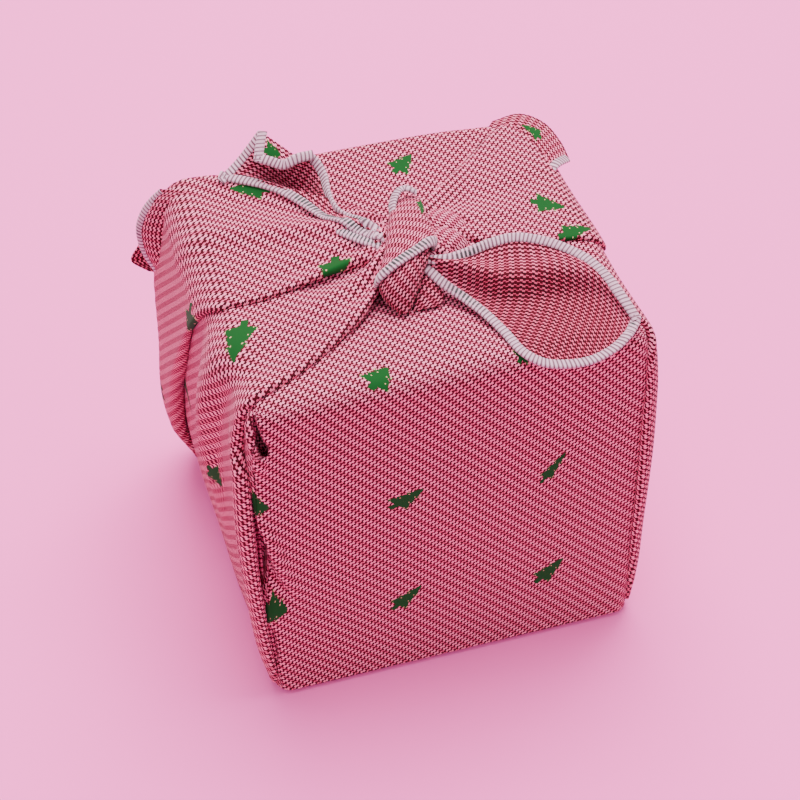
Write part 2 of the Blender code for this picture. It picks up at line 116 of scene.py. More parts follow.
# %% Creases
# soft ridges (+) and valleys (-) along lines: "from" and "to" are x and y on the top, and on a wing's
# layer the distance out from the middle of the top and y
CREASES = [
    {"on": "left_rear", "from": (9, 7), "to": (60, 23), "wide": 6.0, "high": 1.9},
    {"on": "left_rear", "from": (10, 1), "to": (40, -3), "wide": 3.0, "high": -0.7},
    {"on": "left_rear", "from": (11, 14), "to": (50, 40), "wide": 7.0, "high": -1.9},
    {"on": "left_front", "from": (12, -6), "to": (33, -8), "wide": 5.0, "high": -1.9},
    {"on": "left_front", "from": (9, -8), "to": (34, -19), "wide": 4.0, "high": 1.4},
    {"on": "left_front", "from": (9, -12), "to": (22, -21), "wide": 3.0, "high": -1.7},
    {"on": "right_rear", "from": (12, 4), "to": (40, 8), "wide": 4.0, "high": 0.8},
    {"on": "right_rear", "from": (9, 1.5), "to": (22, 3.5), "wide": 2.0, "high": -1.2},
    {"on": "right_rear", "from": (20, 14), "to": (56, 21), "wide": 5.0, "high": -0.7},
    {"on": "right_front", "from": (9, 4), "to": (44, 12), "wide": 3.5, "high": 0.5},
    {"on": "top", "from": (38.7, 50), "to": (25.5, 14), "wide": 6.0, "high": -1.0},
    {"on": "top", "from": (-8, -20), "to": (-30, -52), "wide": 6.0, "high": 0.5},
    {"on": "top", "from": (-6, -26), "to": (14, -56), "wide": 9.0, "high": 0.5},
]
# the top panel's swelling: its half width and its height in front
CROWN_HALF, CROWN_HIGH = 66, 0.5
# how much it rises towards the rear, the y where that starts, and the distance that it takes
CROWN_REAR, CROWN_START, CROWN_LONG = 5.8, -20, 74
CROWN_FADE = 12         # how far below the top it fades out


def crown(x, y):
    """The top panel's soft swelling, highest along the rear edge."""
    across = np.maximum(0.0, 1 - np.abs(x / CROWN_HALF) ** 3)
    to_rear = np.maximum(0.0, (y - CROWN_START) / CROWN_LONG)
    return across * (CROWN_HIGH + CROWN_REAR * to_rear ** 1.5)


def crease_height(name, u, v):
    """All ridges and valleys of one sheet at (u, v)."""
    total = np.zeros(np.broadcast(u, v).shape)
    for row in CREASES:
        if row["on"] != name:
            continue
        a, b = np.array(row["from"], float), np.array(row["to"], float)
        line = b - a
        t = ((u - a[0]) * line[0] + (v - a[1]) * line[1]) / line.dot(line)
        off = (u - a[0] - t * line[0]) ** 2 + (v - a[1] - t * line[1]) ** 2
        # it fades in and out past the two ends of its line
        ends = smooth_step((t + 0.15) / 0.3) * smooth_step((1.25 - t) / 0.5)
        total = total + row["high"] * ends * np.exp(-off / (2 * (row["wide"] / 2) ** 2))
    return total


print("creases:", len(CREASES))


# %% Points on the block
def on_body(x, y, z, rise=0.0):
    """Points of the wrapped block over points of the plain cuboid, raised along the surface."""
    x, y, z, rise = np.broadcast_arrays(x, y, z, rise)
    at = np.stack([x, y, z - HEIGHT / 2], -1).astype(float)
    radius = np.full(at.shape, EDGE)
    radius[..., 2] = np.where(z > HEIGHT / 2, EDGE, FOOT_EDGE)
    core = np.clip(at, -(HALVES - radius), HALVES - radius)
    away = (at - core) / radius
    away /= np.linalg.norm(away, axis=-1, keepdims=True)
    outward = away / radius
    outward /= np.linalg.norm(outward, axis=-1, keepdims=True)
    point = core + away * radius + outward * rise[..., None]
    px, py, pz = point[..., 0], point[..., 1], point[..., 2] + HEIGHT / 2
    px = px * np.where(px < 0, BODY_HALF["left"](pz), BODY_HALF["right"](pz)) / (WIDTH / 2)
    py = py * np.where(py < 0, BODY_HALF["front"](pz), BODY_HALF["back"](pz)) / (DEPTH / 2)
    swell = np.clip((pz - HEIGHT + CROWN_FADE) / CROWN_FADE, 0, 1.2)
    pz = pz + (crown(px, py) + crease_height("top", px, py)) * swell
    return np.stack([px, py, pz], -1)


def on_side(side, out, along, rise):
    """on_body by the wings' own measures: side is -1 for left and 1 for right."""
    out, along, rise = np.broadcast_arrays(out, along, rise)
    limit = DEPTH / 2
    x = np.minimum(out, WIDTH / 2)
    z = HEIGHT - np.maximum(0.0, out - WIDTH / 2)
    past = np.maximum(0.0, np.abs(along) - limit)
    x = np.where(out > WIDTH / 2, x - past, x)
    y = np.clip(along, -limit, limit)
    return on_body(side * x, y, z, rise)


print("2 mm over the left side:", on_side(-1, 100, 0, 2).round(1))

# %% [markdown]
# ## Fir trees
# Small fir trees are woven into the cloth in rows, 46 mm by 45 mm apart, and all point the same way on
# the square. A drawn image would blur close up, so the material draws each tree from numbers. For that,
# every corner of every face keeps its place in the nearest tree's own frame, in a second UV map.

# %% Places of the trees
# every fir tree as its tip and the two ends of its base, in the sheet's own measures
TREES = {
    "front": [((-10.5, -132.2), (-21.6, -130.9), (-15.7, -125.1)),
              ((-11.3, -90.1), (-21.4, -86.1), (-16.5, -81.1)),
              ((34.6, -87.5), (24.6, -83.1), (30.4, -77.8)),
              ((33.1, -134.2), (25.0, -126.7), (29.1, -124.4)),
              ((-55.5, -138.6), (-62.0, -145.0), (-62.5, -133.0)),
              ((-52.6, -92.9), (-56.4, -101.9), (-61.9, -85.8)),
              ((-18.8, -181.8), (-27.7, -180.6), (-20.8, -172.0)),
              ((22.6, -182.0), (17.4, -177.8), (21.0, -171.0))],
    "left": [((-98.9, -61.4), (-107.9, -57.6), (-91.8, -52.1)),
             ((-144.6, -58.5), (-151.0, -52.0), (-139.0, -51.5))],
    "left_front": [((-59.0, -31.6), (-58.1, -18.6), (-49.8, -20.5)),
                   ((-116.0, -21.9), (-106.9, -21.3), (-114.4, -16.6)),
                   ((-129.0, 25.0), (-118.0, 30.0), (-124.0, 42.0))],
    "left_rear": [((-79.0, 3.0), (-70.1, 9.3), (-64.5, -2.0)),
                  ((-26.0, -14.0), (-27.0, -2.0), (-17.0, -4.5)),
                  ((-43.4, 40.2), (-35.0, 32.4), (-33.4, 38.5))],
    "left_lapel": [((11.9, 3.0), (17.3, 1.0), (16.5, 8.5))],
    "top_back": [((16.2, 185.5), (7.2, 187.3), (12.3, 194.2))],
    "knot_band": [((-15.0, 4.6), (-24.3, 3.0), (-23.0, 6.8))],
    "right_ear": [((12.0, 6.5), (19.5, 4.5), (20.5, 10.0))],
    "right_rear": [((54.5, 5.0), (48.2, 14.0), (45.6, 5.0)),
                   ((58.0, -6.0), (50.0, -3.0), (49.0, -12.0))],
}
TREES["top_front"] = TREES["front"]
TREE_HIGH, TREE_HALF = 10.6, 5.2
TURN = math.radians(45)         # the square lies turned under the box
DIAGONAL = math.sqrt(0.5)


def firs(places, ahead):
    """Trees of the full size on the middles of their bases, all pointing the same way."""
    a, b = ahead
    up_x, up_y, half_x, half_y = TREE_HIGH * a, TREE_HIGH * b, TREE_HALF * b, TREE_HALF * a
    return [((x + up_x, y + up_y), (x - half_x, y + half_y), (x + half_x, y - half_y)) for x, y in places]


# the same trees on the faces behind
TREES["back"] = firs([(-34, 82), (12, 82), (-34, 127), (12, 127), (-11, 60)], (DIAGONAL, -DIAGONAL))
TREES["right"] = firs([(82, -24), (82, 22), (127, 22)], (DIAGONAL, -DIAGONAL))
TREES["under"] = firs([(-34, -30), (12, -30), (-34, 15), (12, 15)], (DIAGONAL, -DIAGONAL))
TREES["right_front"] = firs([(88, -22), (88, 20), (134, -22), (134, 22)], (DIAGONAL, DIAGONAL))
TREES["right_rear"] += firs([(92, 32), (138, 52)], (DIAGONAL, DIAGONAL))
TREES["left_rear"] += firs([(-138, 50)], (-DIAGONAL, DIAGONAL))
print("trees:", sum(len(places) for places in TREES.values()))

# %% [markdown]
# ## Sheets
# The whole cloth is a list of grids. Each grid is one smooth stretch of it, such as a side, a wing or a
# tail, and is kept with its place on the flat square, in millimetres, for the threads. Grids are easier
# to lay than one big mesh, and they are joined into one object at the end.

# %% Lines and grids
def distances(points):
    """How far each point lies along its line, or along its column where the points are a grid."""
    steps = np.linalg.norm(np.diff(points, axis=0), axis=-1)
    return np.concatenate([np.zeros_like(steps[:1]), np.cumsum(steps, axis=0)])


def grid_faces(rows, cols, wrap=False):
    """The faces of a grid of points, and the row and the column of every face's four corners."""
    i, j = np.meshgrid(np.arange(rows - 1), np.arange(cols if wrap else cols - 1), indexing="ij")
    i = i.ravel()[:, None] + (0, 0, 1, 1)
    j = j.ravel()[:, None] + (0, 1, 1, 0)
    return i * cols + j % cols, (i, j)


def turned(u, v):
    """Cloth coordinates turned so that the threads run at 45 degrees to the box."""
    return np.stack([u * math.cos(TURN) - v * math.sin(TURN), u * math.sin(TURN) + v * math.cos(TURN)], -1)


print("a thread's turn:", turned(1, 0).round(2))

# %% Keeping a sheet
SHEETS = []     # every sheet as (name, points, faces, thread coordinates, tree coordinates)


def tree_coordinates(trees, spots):
    """Face corners' places in their nearest tree's own frame: towards its tip, and across."""
    if not trees:
        return np.full(spots.shape, 90.0)       # far from any tree
    low = np.array([(np.array(l, float) + r) / 2 for t, l, r in trees])
    tip = np.array([t for t, l, r in trees], float) - low
    side = np.array([(np.array(r, float) - l) / 2 for t, l, r in trees])
    middle = spots.mean(1)[:, None]
    near = np.argmin(np.linalg.norm(middle - (low + tip * 0.4)[None], axis=2), axis=1)
    frames = np.linalg.inv(np.stack([tip / TREE_HIGH, side / TREE_HALF], -1))
    return np.einsum("nij,nkj->nki", frames[near], spots - low[near][:, None])


def add_sheet(name, points, weave, spots, wrap=False):
    """Keeps one grid of points with its thread and tree coordinates, all in millimetres."""
    faces, corners = grid_faces(*points.shape[:2], wrap)
    trees = tree_coordinates(TREES.get(name), spots[corners])
    SHEETS.append((name, points.reshape(-1, 3), faces, weave[corners], trees))
    print(f"{name}: {len(faces)} faces")


def joined(parts):
    """The points and the faces of several grids as those of one mesh."""
    firsts = np.cumsum([0] + [len(p[1]) for p in parts[:-1]])
    return (np.concatenate([p[1] for p in parts]),
            np.concatenate([p[2] + first for p, first in zip(parts, firsts)]).tolist())


print("faces of a grid of 3 by 3 points:", len(grid_faces(3, 3)[0]))

# %% [markdown]
# ## The front left edge
# Here the cloth overlaps. The front panel's border rolls over the side, a narrow slit stays open at the
# top, and a pocket at the foot. Separate flaps would be truer to the folding, but on such thin cloth the
# eye sees only the steps. So the two panels are pressed in and out along this edge. The slit is pushed
# in and down at once, which hides its floor behind its own rim, and so it is black.

# %% Measures of the front left edge
# from the floor up, with s measured round the edge, + on the front: the front panel's border lies at
# "border", and the cloth beside it is "deep" under it; the slit lies at s and is twice "half" wide
EDGE_FOLD = [
    {"z": 38, "border": 10.5, "deep": 0.0}, {"z": 46, "border": 9.2, "deep": 1.3},
    {"z": 52, "border": 6.6, "deep": 3.2}, {"z": 60, "border": 4.5, "deep": 4.4},
    {"z": 71, "border": 2.2, "deep": 4.4}, {"z": 79, "border": -0.9, "deep": 3.2},
    {"z": 86, "border": -2.6, "deep": 0.8}, {"z": 92, "border": -3.0, "deep": 0.0},
]
EDGE_SLIT = [
    {"z": 104.6, "s": 3.9, "half": 0.0}, {"z": 105.8, "s": 3.4, "half": 1.1},
    {"z": 108.4, "s": 2.4, "half": 1.7}, {"z": 111.6, "s": 0.8, "half": 1.3},
    {"z": 115, "s": -0.9, "half": 0.8}, {"z": 119, "s": -3.3, "half": 0.2},
]
SLIT_PUSH = np.array([1.8, 7.0, -7.5])      # how far the slit is pushed to the right, in and down
LIP_HIGH, LIP_WIDE = 1.5, 2.2               # the lip to the left of the slit
# the panel's roll beside its border: its height as a share of "deep", its place and its width
RIDGE_SHARE, RIDGE_OFF, RIDGE_WIDE = 0.28, 2.2, 1.6
# the pocket: its foot, its top, its middle as s, its depth, and how far the border over it runs sideways
POCKET_LOW, POCKET_TOP, POCKET_MIDDLE = 15, 31, 0.8
POCKET_DEEP, POCKET_ASIDE = 5.0, 1.5
EDGE_REACH = 16                             # how far from the edge the folds go


def along_edge(rows, z, *keys):
    """The values of the named columns along the edge, and whether z lies between the rows' ends."""
    return [column(rows, "z", key)(z) for key in keys] + [(z > rows[0]["z"]) & (z < rows[-1]["z"])]


print("tucked under at 60 mm:", float(along_edge(EDGE_FOLD, 60, "deep")[0]), "mm deep")


# %% Rolled border, slit and pocket
def rolled_border(s, z):
    """The rise of the cloth where the front panel's border rolls over the side."""
    border, deep, here = along_edge(EDGE_FOLD, z, "border", "deep")
    tucked = deep * smooth_step((border - s) / 1.2 + 0.3) * smooth_step((s + 11) / 3)
    ridge = RIDGE_SHARE * deep * np.exp(-((s - border - RIDGE_OFF) / RIDGE_WIDE) ** 2)
    return np.where(here, ridge - tucked, 0.0)


def open_slit(s, z):
    """How open the slit is, and the rise of the lip beside it."""
    middle, half, here = along_edge(EDGE_SLIT, z, "s", "half")
    away = s - middle
    slope = 0.6 + 1.6 * smooth_step((z - 108) / 8)
    left_wall = smooth_step((away + half + 0.4) / 0.6)
    right_wall = smooth_step((half + slope - away) / slope)
    cavity = np.where(here, smooth_step(half / 0.5), 0.0) * np.where(away < 0, left_wall, right_wall)
    lip = LIP_HIGH * smooth_step((z - 94) / 8) * smooth_step((118 - z) / 7)
    return cavity, lip * np.exp(-((away + half + LIP_WIDE) / LIP_WIDE) ** 2) * (away < 0)


def foot_pocket(s, z):
    """How deep the pocket at the foot is, as a share of its full depth."""
    low = smooth_step((z - POCKET_LOW) / 4) * smooth_step((POCKET_TOP - z) / 5)
    off = s - POCKET_MIDDLE
    return low * np.where(off < 0, smooth_step((off + 1.8) / 1.4), smooth_step((2.6 - off) / 2.2))


print("the slit's middle at 108 mm is open by", float(open_slit(2.5, 108.0)[0]))


# %% The front left edge
def front_left_edge(x, y, z):
    """The rise of the cloth at this edge, how far it runs sideways under its lip, and the slit's depth."""
    s = np.where(y <= -DEPTH / 2 + 0.001, x + WIDTH / 2, -(y + DEPTH / 2))
    cavity, lip = open_slit(s, z)
    pocket = foot_pocket(s, z)
    rise = rolled_border(s, z) + lip - POCKET_DEEP * pocket
    near = np.abs(s) < EDGE_REACH
    return [np.where(near, value, 0.0) for value in (rise, POCKET_ASIDE * pocket, cavity)]


print("rise at the corner, 60 mm up:", front_left_edge(-WIDTH / 2, -DEPTH / 2, 60.0)[0].round(2))

# %% [markdown]
# ## Panels round the box
# The middle of the square lies under the box. From it one side stands up on each face, and two corners
# close over the top. Each face is a grid laid on the block. Its lines crowd together at the rounded
# edges, where the surface turns quickest. The threads are measured along the surface itself, or they
# would look stretched wherever the cloth dips into a fold.


# %% A face as a grid
GRID_STEP, EDGE_LINES = 3.0, 5      # from line to line on the flat, and the lines round an edge
# extra lines along x, y and z where the front left edge has its folds
FINE = (np.arange(-59.5, -47, 0.75), np.arange(-53.5, -42, 1.0),
        np.concatenate([np.arange(-21, 38, 2.0), np.arange(39, 57, 0.9)]))


def grid_lines(half, extra=()):
    """Lines across a face: even on the flat, and closer together round the edges."""
    flat = half - EDGE
    inner = list(np.linspace(-flat, flat, round(2 * flat / GRID_STEP) + 1))
    bend = [half - EDGE * (1 - t) for t in np.linspace(0, 1, EDGE_LINES + 1)[1:-1] ** 0.8]
    return np.unique(np.round([-half] + [-b for b in bend] + inner + bend + [half] + list(extra), 3))


def face_grid(axis, sign, lines):
    """A grid on one face of the plain cuboid, as x, y and z from its middle."""
    first, second = [a for a in range(3) if a != axis]
    at = [None, None, None]
    at[first], at[second] = np.meshgrid(lines[first], lines[second], indexing="ij")
    at[axis] = np.full(at[first].shape, sign * HALVES[axis])
    return at


def unrolled(points, flat, start):
    """The cloth coordinate flat measured on the surface itself, from start towards the front left edge."""
    total = distances(points)
    k = np.searchsorted(flat[:, 0], start)
    return np.where(flat < flat[k, 0], flat[k, 0] + total - total[k], flat)


print("lines across the front:", len(grid_lines(WIDTH / 2, FINE[0])))

# %% Panels
# each face's axis, its sign, and the cloth unfolded flat round the underside
PANELS = {
    "front": (1, -1, lambda x, y, z: (x, -(DEPTH / 2 + z))),
    "back": (1, 1, lambda x, y, z: (x, DEPTH / 2 + z)),
    "left": (0, -1, lambda x, y, z: (-(WIDTH / 2 + z), y)),
    "right": (0, 1, lambda x, y, z: (WIDTH / 2 + z, y)),
    "under": (2, -1, lambda x, y, z: (x, y)),
    "top_front": (2, 1, lambda x, y, z: (x, -(DEPTH / 2 + HEIGHT + y + DEPTH / 2))),
    "top_back": (2, 1, lambda x, y, z: (x, DEPTH / 2 + HEIGHT + DEPTH / 2 - y)),
}
# from here to the front left edge, the threads are measured on the surface
MEASURED_FROM = {"front": -44, "left": -42}

for name, (axis, sign, unfolded) in PANELS.items():
    extra = FINE if name in ("front", "left") else ((), (), ())
    x, y, z = face_grid(axis, sign, [grid_lines(half, more) for half, more in zip(HALVES, extra)])
    z = z + HEIGHT / 2
    if name.startswith("top"):
        middle = x.shape[1] // 2
        part = slice(0, middle + 1) if name == "top_front" else slice(middle, None)
        x, y, z = x[:, part], y[:, part], z[:, part]
    rise, sideways, slit = front_left_edge(x, y, z)
    points = on_body(x, y, z, rise) + slit[..., None] * SLIT_PUSH
    points[..., 0] -= sideways * np.clip((x + WIDTH / 2) / 2, 0, 1) * (name == "front")
    u, v = unfolded(x, y, z)
    flat = np.stack([u, v], -1)
    if name == "front":
        u = unrolled(points, u, MEASURED_FROM[name])
    elif name == "left":
        v = unrolled(points, v, MEASURED_FROM[name])
    add_sheet(name, points, turned(u, v), flat)

# %% [markdown]
# ## Turned-in corners
# The spare cloth of the sides is folded flat between the panels and the wings. Nobody sees it, but it
# fills the space and belongs to the square, so it is laid as plain grids a little below the panels.

# %% Turned-in corners
# each grid's axis and sign, and how far it lies under its panel
TURNED_IN = {"inner_left": (0, -1, 1.2), "inner_right": (0, 1, 1.2), "inner_top": (2, 1, 1.2),
             "inner_left_deep": (0, -1, 2.4), "inner_right_deep": (0, 1, 2.4)}
INNER_MARGIN, INNER_LINES = 6, 14       # how far they stay clear of the edges, and their lines each way
reach = [half - INNER_MARGIN for half in HALVES]
lines = [np.linspace(-r, r, INNER_LINES) for r in reach]
for name, (axis, sign, below) in TURNED_IN.items():
    x, y, z = face_grid(axis, sign, lines)
    u, v = [at for k, at in enumerate((x, y, z)) if k != axis]
    add_sheet(name, on_body(x, y, z + HEIGHT / 2, -below), turned(u, v), np.stack([u, v], -1))

# %% [markdown]
# ## Wings
# On each side the cloth is gathered from the bottom edge up to the knot, and its long borders are turned
# in. Two layers show on each side, one in front of the other. A layer is measured from the middle of the
# top outwards and down: at each step it has a front border, a rear border and a height over the panel.
# The turned-in border is half a circle with a narrow strip behind it, and fine pleats fan out from the
# knot as a wave whose height fades with distance.

# %% Measures of the wings
# Wing layers: "out" runs from the middle of the top outwards and down, "front" and "rear" are the
# borders as y, "rise" and "back" are the face's heights over the panel at its front and rear borders,
# and "under" is the height of the side that is turned in.
WING_COLUMNS = ("out", "front", "rear", "rise", "back", "under")
LAYERS = {
    "left_front": {"side": -1, "rows": [
        (5, -9, 7, 10, 10, 6), (9, -14, 7.5, 8.4, 8, 5), (15, -20, 8, 6, 5.6, 2.5),
        (20, -25.6, 8, 4.6, 4.2, 1.2), (25, -29.1, 7, 3.4, 3.2, 0.6), (37, -37.6, 3, 2.2, 2.0, 0.2),
        (50, -44.9, -2, 1.9, 1.4, 0.2), (60, -48.6, 2, 2.2, 1.4, 0.2), (66, -47.6, 8, 2.8, 1.6, 0.2),
        (75, -47.2, 18, 3.8, 1.8, 0.2), (84, -51.2, 26, 4.4, 1.9, 0.3), (95, -52.4, 34, 4.5, 2, 0.4),
        (110, -53.1, 41, 4.6, 2, 0.4), (120, -53.3, 44, 4.4, 2, 0.4), (137, -54, 49, 4.0, 1.8, 0.4),
        (150, -54, 50.5, 3.2, 1.5, 0.3), (165, -54, 52, 2.2, 1.2, 0.3), (177, -51.5, 51.5, 1.2, 1, 0.2)],
        "fall": 11.0, "fold": [
        (45, -34, -22, 0.6), (60, -39, -26, 3.0), (70, -33.5, -24, 5.2), (80, -30, -22.5, 5.8),
        (93, -26, -19, 5.8), (103, -23.5, -16.5, 5.6), (113, -23, -16, 4.6), (124, -24, -16, 2.4),
        (140, -26, -16, 0.2)]},
    "left_rear": {"side": -1, "rows": [
        (5, -5, 14, 10, 9.5, 7), (9, -6.9, 18, 8.8, 8.2, 5), (15, -6.1, 24, 7.0, 6.5, 4.3),
        (25, -6.4, 33, 5.4, 5.0, 3.6), (37, -8.1, 44, 4.3, 3.9, 2.7), (50, -9.4, 51, 3.6, 3.6, 1.9),
        (56, -9.1, 52.5, 3.6, 3.8, 1.9), (60, -7.1, 53.9, 3.8, 4.2, 2.2), (66, -1.4, 57, 4.0, 3.6, 2.4),
        (70, 1.6, 60, 4.2, 4.0, 2.6), (78, 7.4, 62, 4.4, 4.8, 2.8), (88, 13.6, 64, 5.2, 5.4, 2.4),
        (110, 25.1, 65, 6.4, 6.0, 2.2), (120, 31.0, 65.6, 6.8, 6.4, 2.2), (135, 38.6, 66, 7.2, 8.2, 2.2),
        (147, 44.0, 65.4, 7.2, 10.6, 2.2), (155, 47.0, 64.5, 6.8, 12.0, 2.2), (163, 49.4, 63, 5.8, 12.6, 2.0),
        (168, 50.4, 61.6, 4.6, 12.2, 1.6), (173, 51.2, 60.4, 3.0, 9.6, 1.0), (178, 52, 59, 1.8, 5.0, 0.2)]},
    "right_front": {"side": 1, "rows": [
        (6, -9, 5, 9, 9, 5), (11, -12, 7, 7, 6.4, 3.4), (17, -16, 8.5, 4.6, 3.8, 1.8),
        (28, -24, 12.5, 2.4, 2, 0.5), (39, -33, 17, 1.7, 1.4, 0.3), (51, -42, 19.8, 1.5, 1, 0.2),
        (60, -49.5, 21, 1.7, 1, 0.2), (72, -56, 30, 2.3, 1.2, 0.2), (95, -57.5, 42, 2.5, 1.2, 0.2),
        (120, -57.5, 49, 2.5, 1.2, 0.2), (145, -57, 53, 2.1, 1, 0.2), (165, -55, 53, 1.6, 0.8, 0.2),
        (177, -51.5, 51.5, 1, 0.6, 0.2)]},
    "right_rear": {"side": 1, "rows": [
        (5, -1, 11, 9, 8.6, 6), (9, -1.6, 14, 7.6, 7.2, 5.2), (17, -2.4, 22, 5.4, 4.6, 3.4),
        (28, -4.9, 32, 3.6, 2.6, 2.2), (39, -7.6, 42, 3.0, 1.8, 1.7), (51, -8.9, 51, 2.7, 1.5, 1.5),
        (60, -10.5, 53.9, 2.7, 1.6, 1.4), (72, -2, 59, 3.0, 2.0, 1.5), (95, 16, 62, 3.2, 2.4, 1.5),
        (120, 34, 62, 3.2, 2.4, 1.4), (145, 45, 61, 2.8, 2.0, 1.2), (165, 50, 58, 2, 1.5, 0.6),
        (176, 50.5, 55, 1, 0.9, 0.1)]},
}
print("wing layers:", list(LAYERS))


# %% Lines of a wing's layer
STRIP = 6.0                                     # width of the border that is turned in
FLATTER = 0.9                                   # how much flatter than a half circle its fold is
STRIP_LINES, FOLD_LINES, FACE_LINES = 3, 8, 34


def layer_lines(rows, out, fall_over=None):
    """A layer's lines from the turned-in strip to the rear border: y, rise and place on the square.

    fall_over is the distance over which the face comes down to its rear height."""
    front, rear, high, back, low = (column(rows, "out", k)(out) for k in WING_COLUMNS[1:])
    radius = (high - low) / 2
    start = front + radius * FLATTER
    lines = []
    for k in range(STRIP_LINES):                # the strip turned in under the border
        t = STRIP * (1 - k / STRIP_LINES)
        lines.append((start + t, low, start - math.pi * radius - t))
    for k in range(FOLD_LINES + 1):             # the rounded fold itself
        a = math.pi * k / FOLD_LINES
        lines.append((start - radius * math.sin(a) * FLATTER, low + radius * (1 - math.cos(a)),
                      start - radius * (math.pi - a)))
    for k in range(1, FACE_LINES + 1):          # the face, with lines closer together near the border
        t = k / FACE_LINES
        t = t * (0.55 + 0.45 * t)
        place = start + (rear - start) * t
        fall = (rear - start) * t / fall_over if fall_over else t * 1.3
        lines.append((place, high + (back - high) * smooth_step(fall), place))
    return rear[:, None], np.array(lines).transpose(1, 2, 0)


print("lines to a layer:", STRIP_LINES + FOLD_LINES + 1 + FACE_LINES)

# %% Wings
LAYER_STEP = 2.1                                # from one row of a layer to the next
FOLD_COLUMNS = ("out", "foot", "crest", "high")
FOLD_FALL = 22                                  # how far behind its crest a fold comes down
PLEAT_HIGH, PLEAT_REACH, PLEAT_WAVES = 0.8, 15.0, 15
TO_KNOT = WIDTH + HEIGHT                        # from the middle of the square to the knot, unfolded


def wing(name, spec):
    """A wing's layer with its border turned in under it."""
    side = spec["side"]
    rows = [dict(zip(WING_COLUMNS, r)) for r in spec["rows"]]
    steps = np.arange(rows[0]["out"], rows[-1]["out"] + 0.01, LAYER_STEP)
    rear, (along, rise, cloth) = layer_lines(rows, steps, spec.get("fall"))
    out = np.repeat(steps[:, None], along.shape[1], 1)
    pressed = crease_height(name, out, along)
    if "fold" in spec:
        folds = [dict(zip(FOLD_COLUMNS, r)) for r in spec["fold"]]
        foot, crest, tall = (column(folds, "out", k)(out) for k in FOLD_COLUMNS[1:])
        pressed = pressed + tall * np.where(along < crest, smooth_step((along - foot) / (crest - foot)),
                                            1 - smooth_step((along - crest) / FOLD_FALL))
    # fine pleats run together towards the knot
    reach = np.exp(-np.maximum(out - 6, 0) / PLEAT_REACH)
    angle = np.arctan2(along - 1, np.maximum(out - 1, 1))
    pleats = PLEAT_HIGH * reach * np.sin(angle * PLEAT_WAVES + (0.7 if side < 0 else 2.1))
    # two slow waves keep the rest from being quite even
    soft = 0.22 * np.sin(out / 9.0 + along / 13.0) + 0.15 * np.sin(along / 6.5 - out / 17.0)
    # they shape the face and the top of the rounded fold, and leave the turned-in strip alone
    first = STRIP_LINES + FOLD_LINES - 2
    on_face = np.zeros_like(along)
    on_face[:, first] = 0.5
    on_face[:, first + 1:] = 1.0
    rise = rise + on_face * (pressed + pleats + soft * smooth_step((out - 15) / 20))
    rise = rise * (0.25 + 0.75 * smooth_step((rear - along) / 3.0))
    add_sheet(name, on_side(side, out, along, rise), turned(side * (TO_KNOT - out), cloth),
              np.stack([side * out, cloth], -1))


for name, spec in LAYERS.items():
    wing(name, spec)

# %% [markdown]
# ## Tails
# Each end of the knot is one corner of the square: it leaves the knot narrow, widens, and ends in a hemmed
# point. A plane could be bent with proportional editing. Cross-sections keep it under control: a
# smooth curve goes through three points of each section, then along the tail, and the tail's own soft
# folds are added on top. Where it would sink into the cloth below, it is lifted until it rests.

# %% Curves through sections
def through(points, count):
    """count points on a Catmull-Rom curve through the given ones."""
    points = [np.array(p, float) for p in points]
    full = [2 * points[0] - points[1]] + points + [2 * points[-1] - points[-2]]
    made = []
    for k in range(count):
        at = k * (len(points) - 1) / (count - 1)
        i = min(int(at), len(points) - 2)
        t = at - i
        a, b, c, d = full[i:i + 4]
        made.append(0.5 * (2 * b + (c - a) * t + (2 * a - 5 * b + 4 * c - d) * t**2
                           + (3 * b - a - 3 * c + d) * t**3))
    return np.array(made)


print("halfway along a curve:", through([(0, 0, 0), (4, 3, 0), (8, 0, 0)], 3)[1])

# %% Resting on the cloth below
GROUND = BVHTree.FromPolygons(*joined(SHEETS))
ABOVE = 160.0           # a height over everything, from where the cloth below is looked for
CLEAR = 0.9             # how far loose cloth stays over the cloth below it
DEEPEST = 9             # loose cloth that lies deeper than this isn't lifted


def cloth_below(x, y):
    """The highest point of the panels and wings at (x, y), or None."""
    return GROUND.ray_cast(Vector((x, y, ABOVE)), Vector((0, 0, -1)))[0]


def resting(points):
    """Loose cloth lifted, where it would sink into the panels and wings below it."""
    lift = np.zeros(points.shape[:2])
    for k in np.ndindex(lift.shape):
        x, y, z = points[k]
        hit = cloth_below(x, y)
        if hit is not None and -DEEPEST < z - hit.z < CLEAR:
            lift[k] = hit.z + CLEAR - z
    # the mean of the 5 by 5 points round each one keeps the lifted cloth smooth
    even = np.pad(lift, 2, mode="edge")
    even = sum(even[a:a + lift.shape[0], b:b + lift.shape[1]] for a in range(5) for b in range(5)) / 25
    from_knot = smooth_step(np.linspace(0, 14, len(points)) - 0.5)[:, None]
    made = points.copy()
    made[..., 2] += np.maximum(lift, even) * from_knot
    return made


print("the cloth is", round(cloth_below(-30, 0).z, 1), "mm high to the left of the knot")

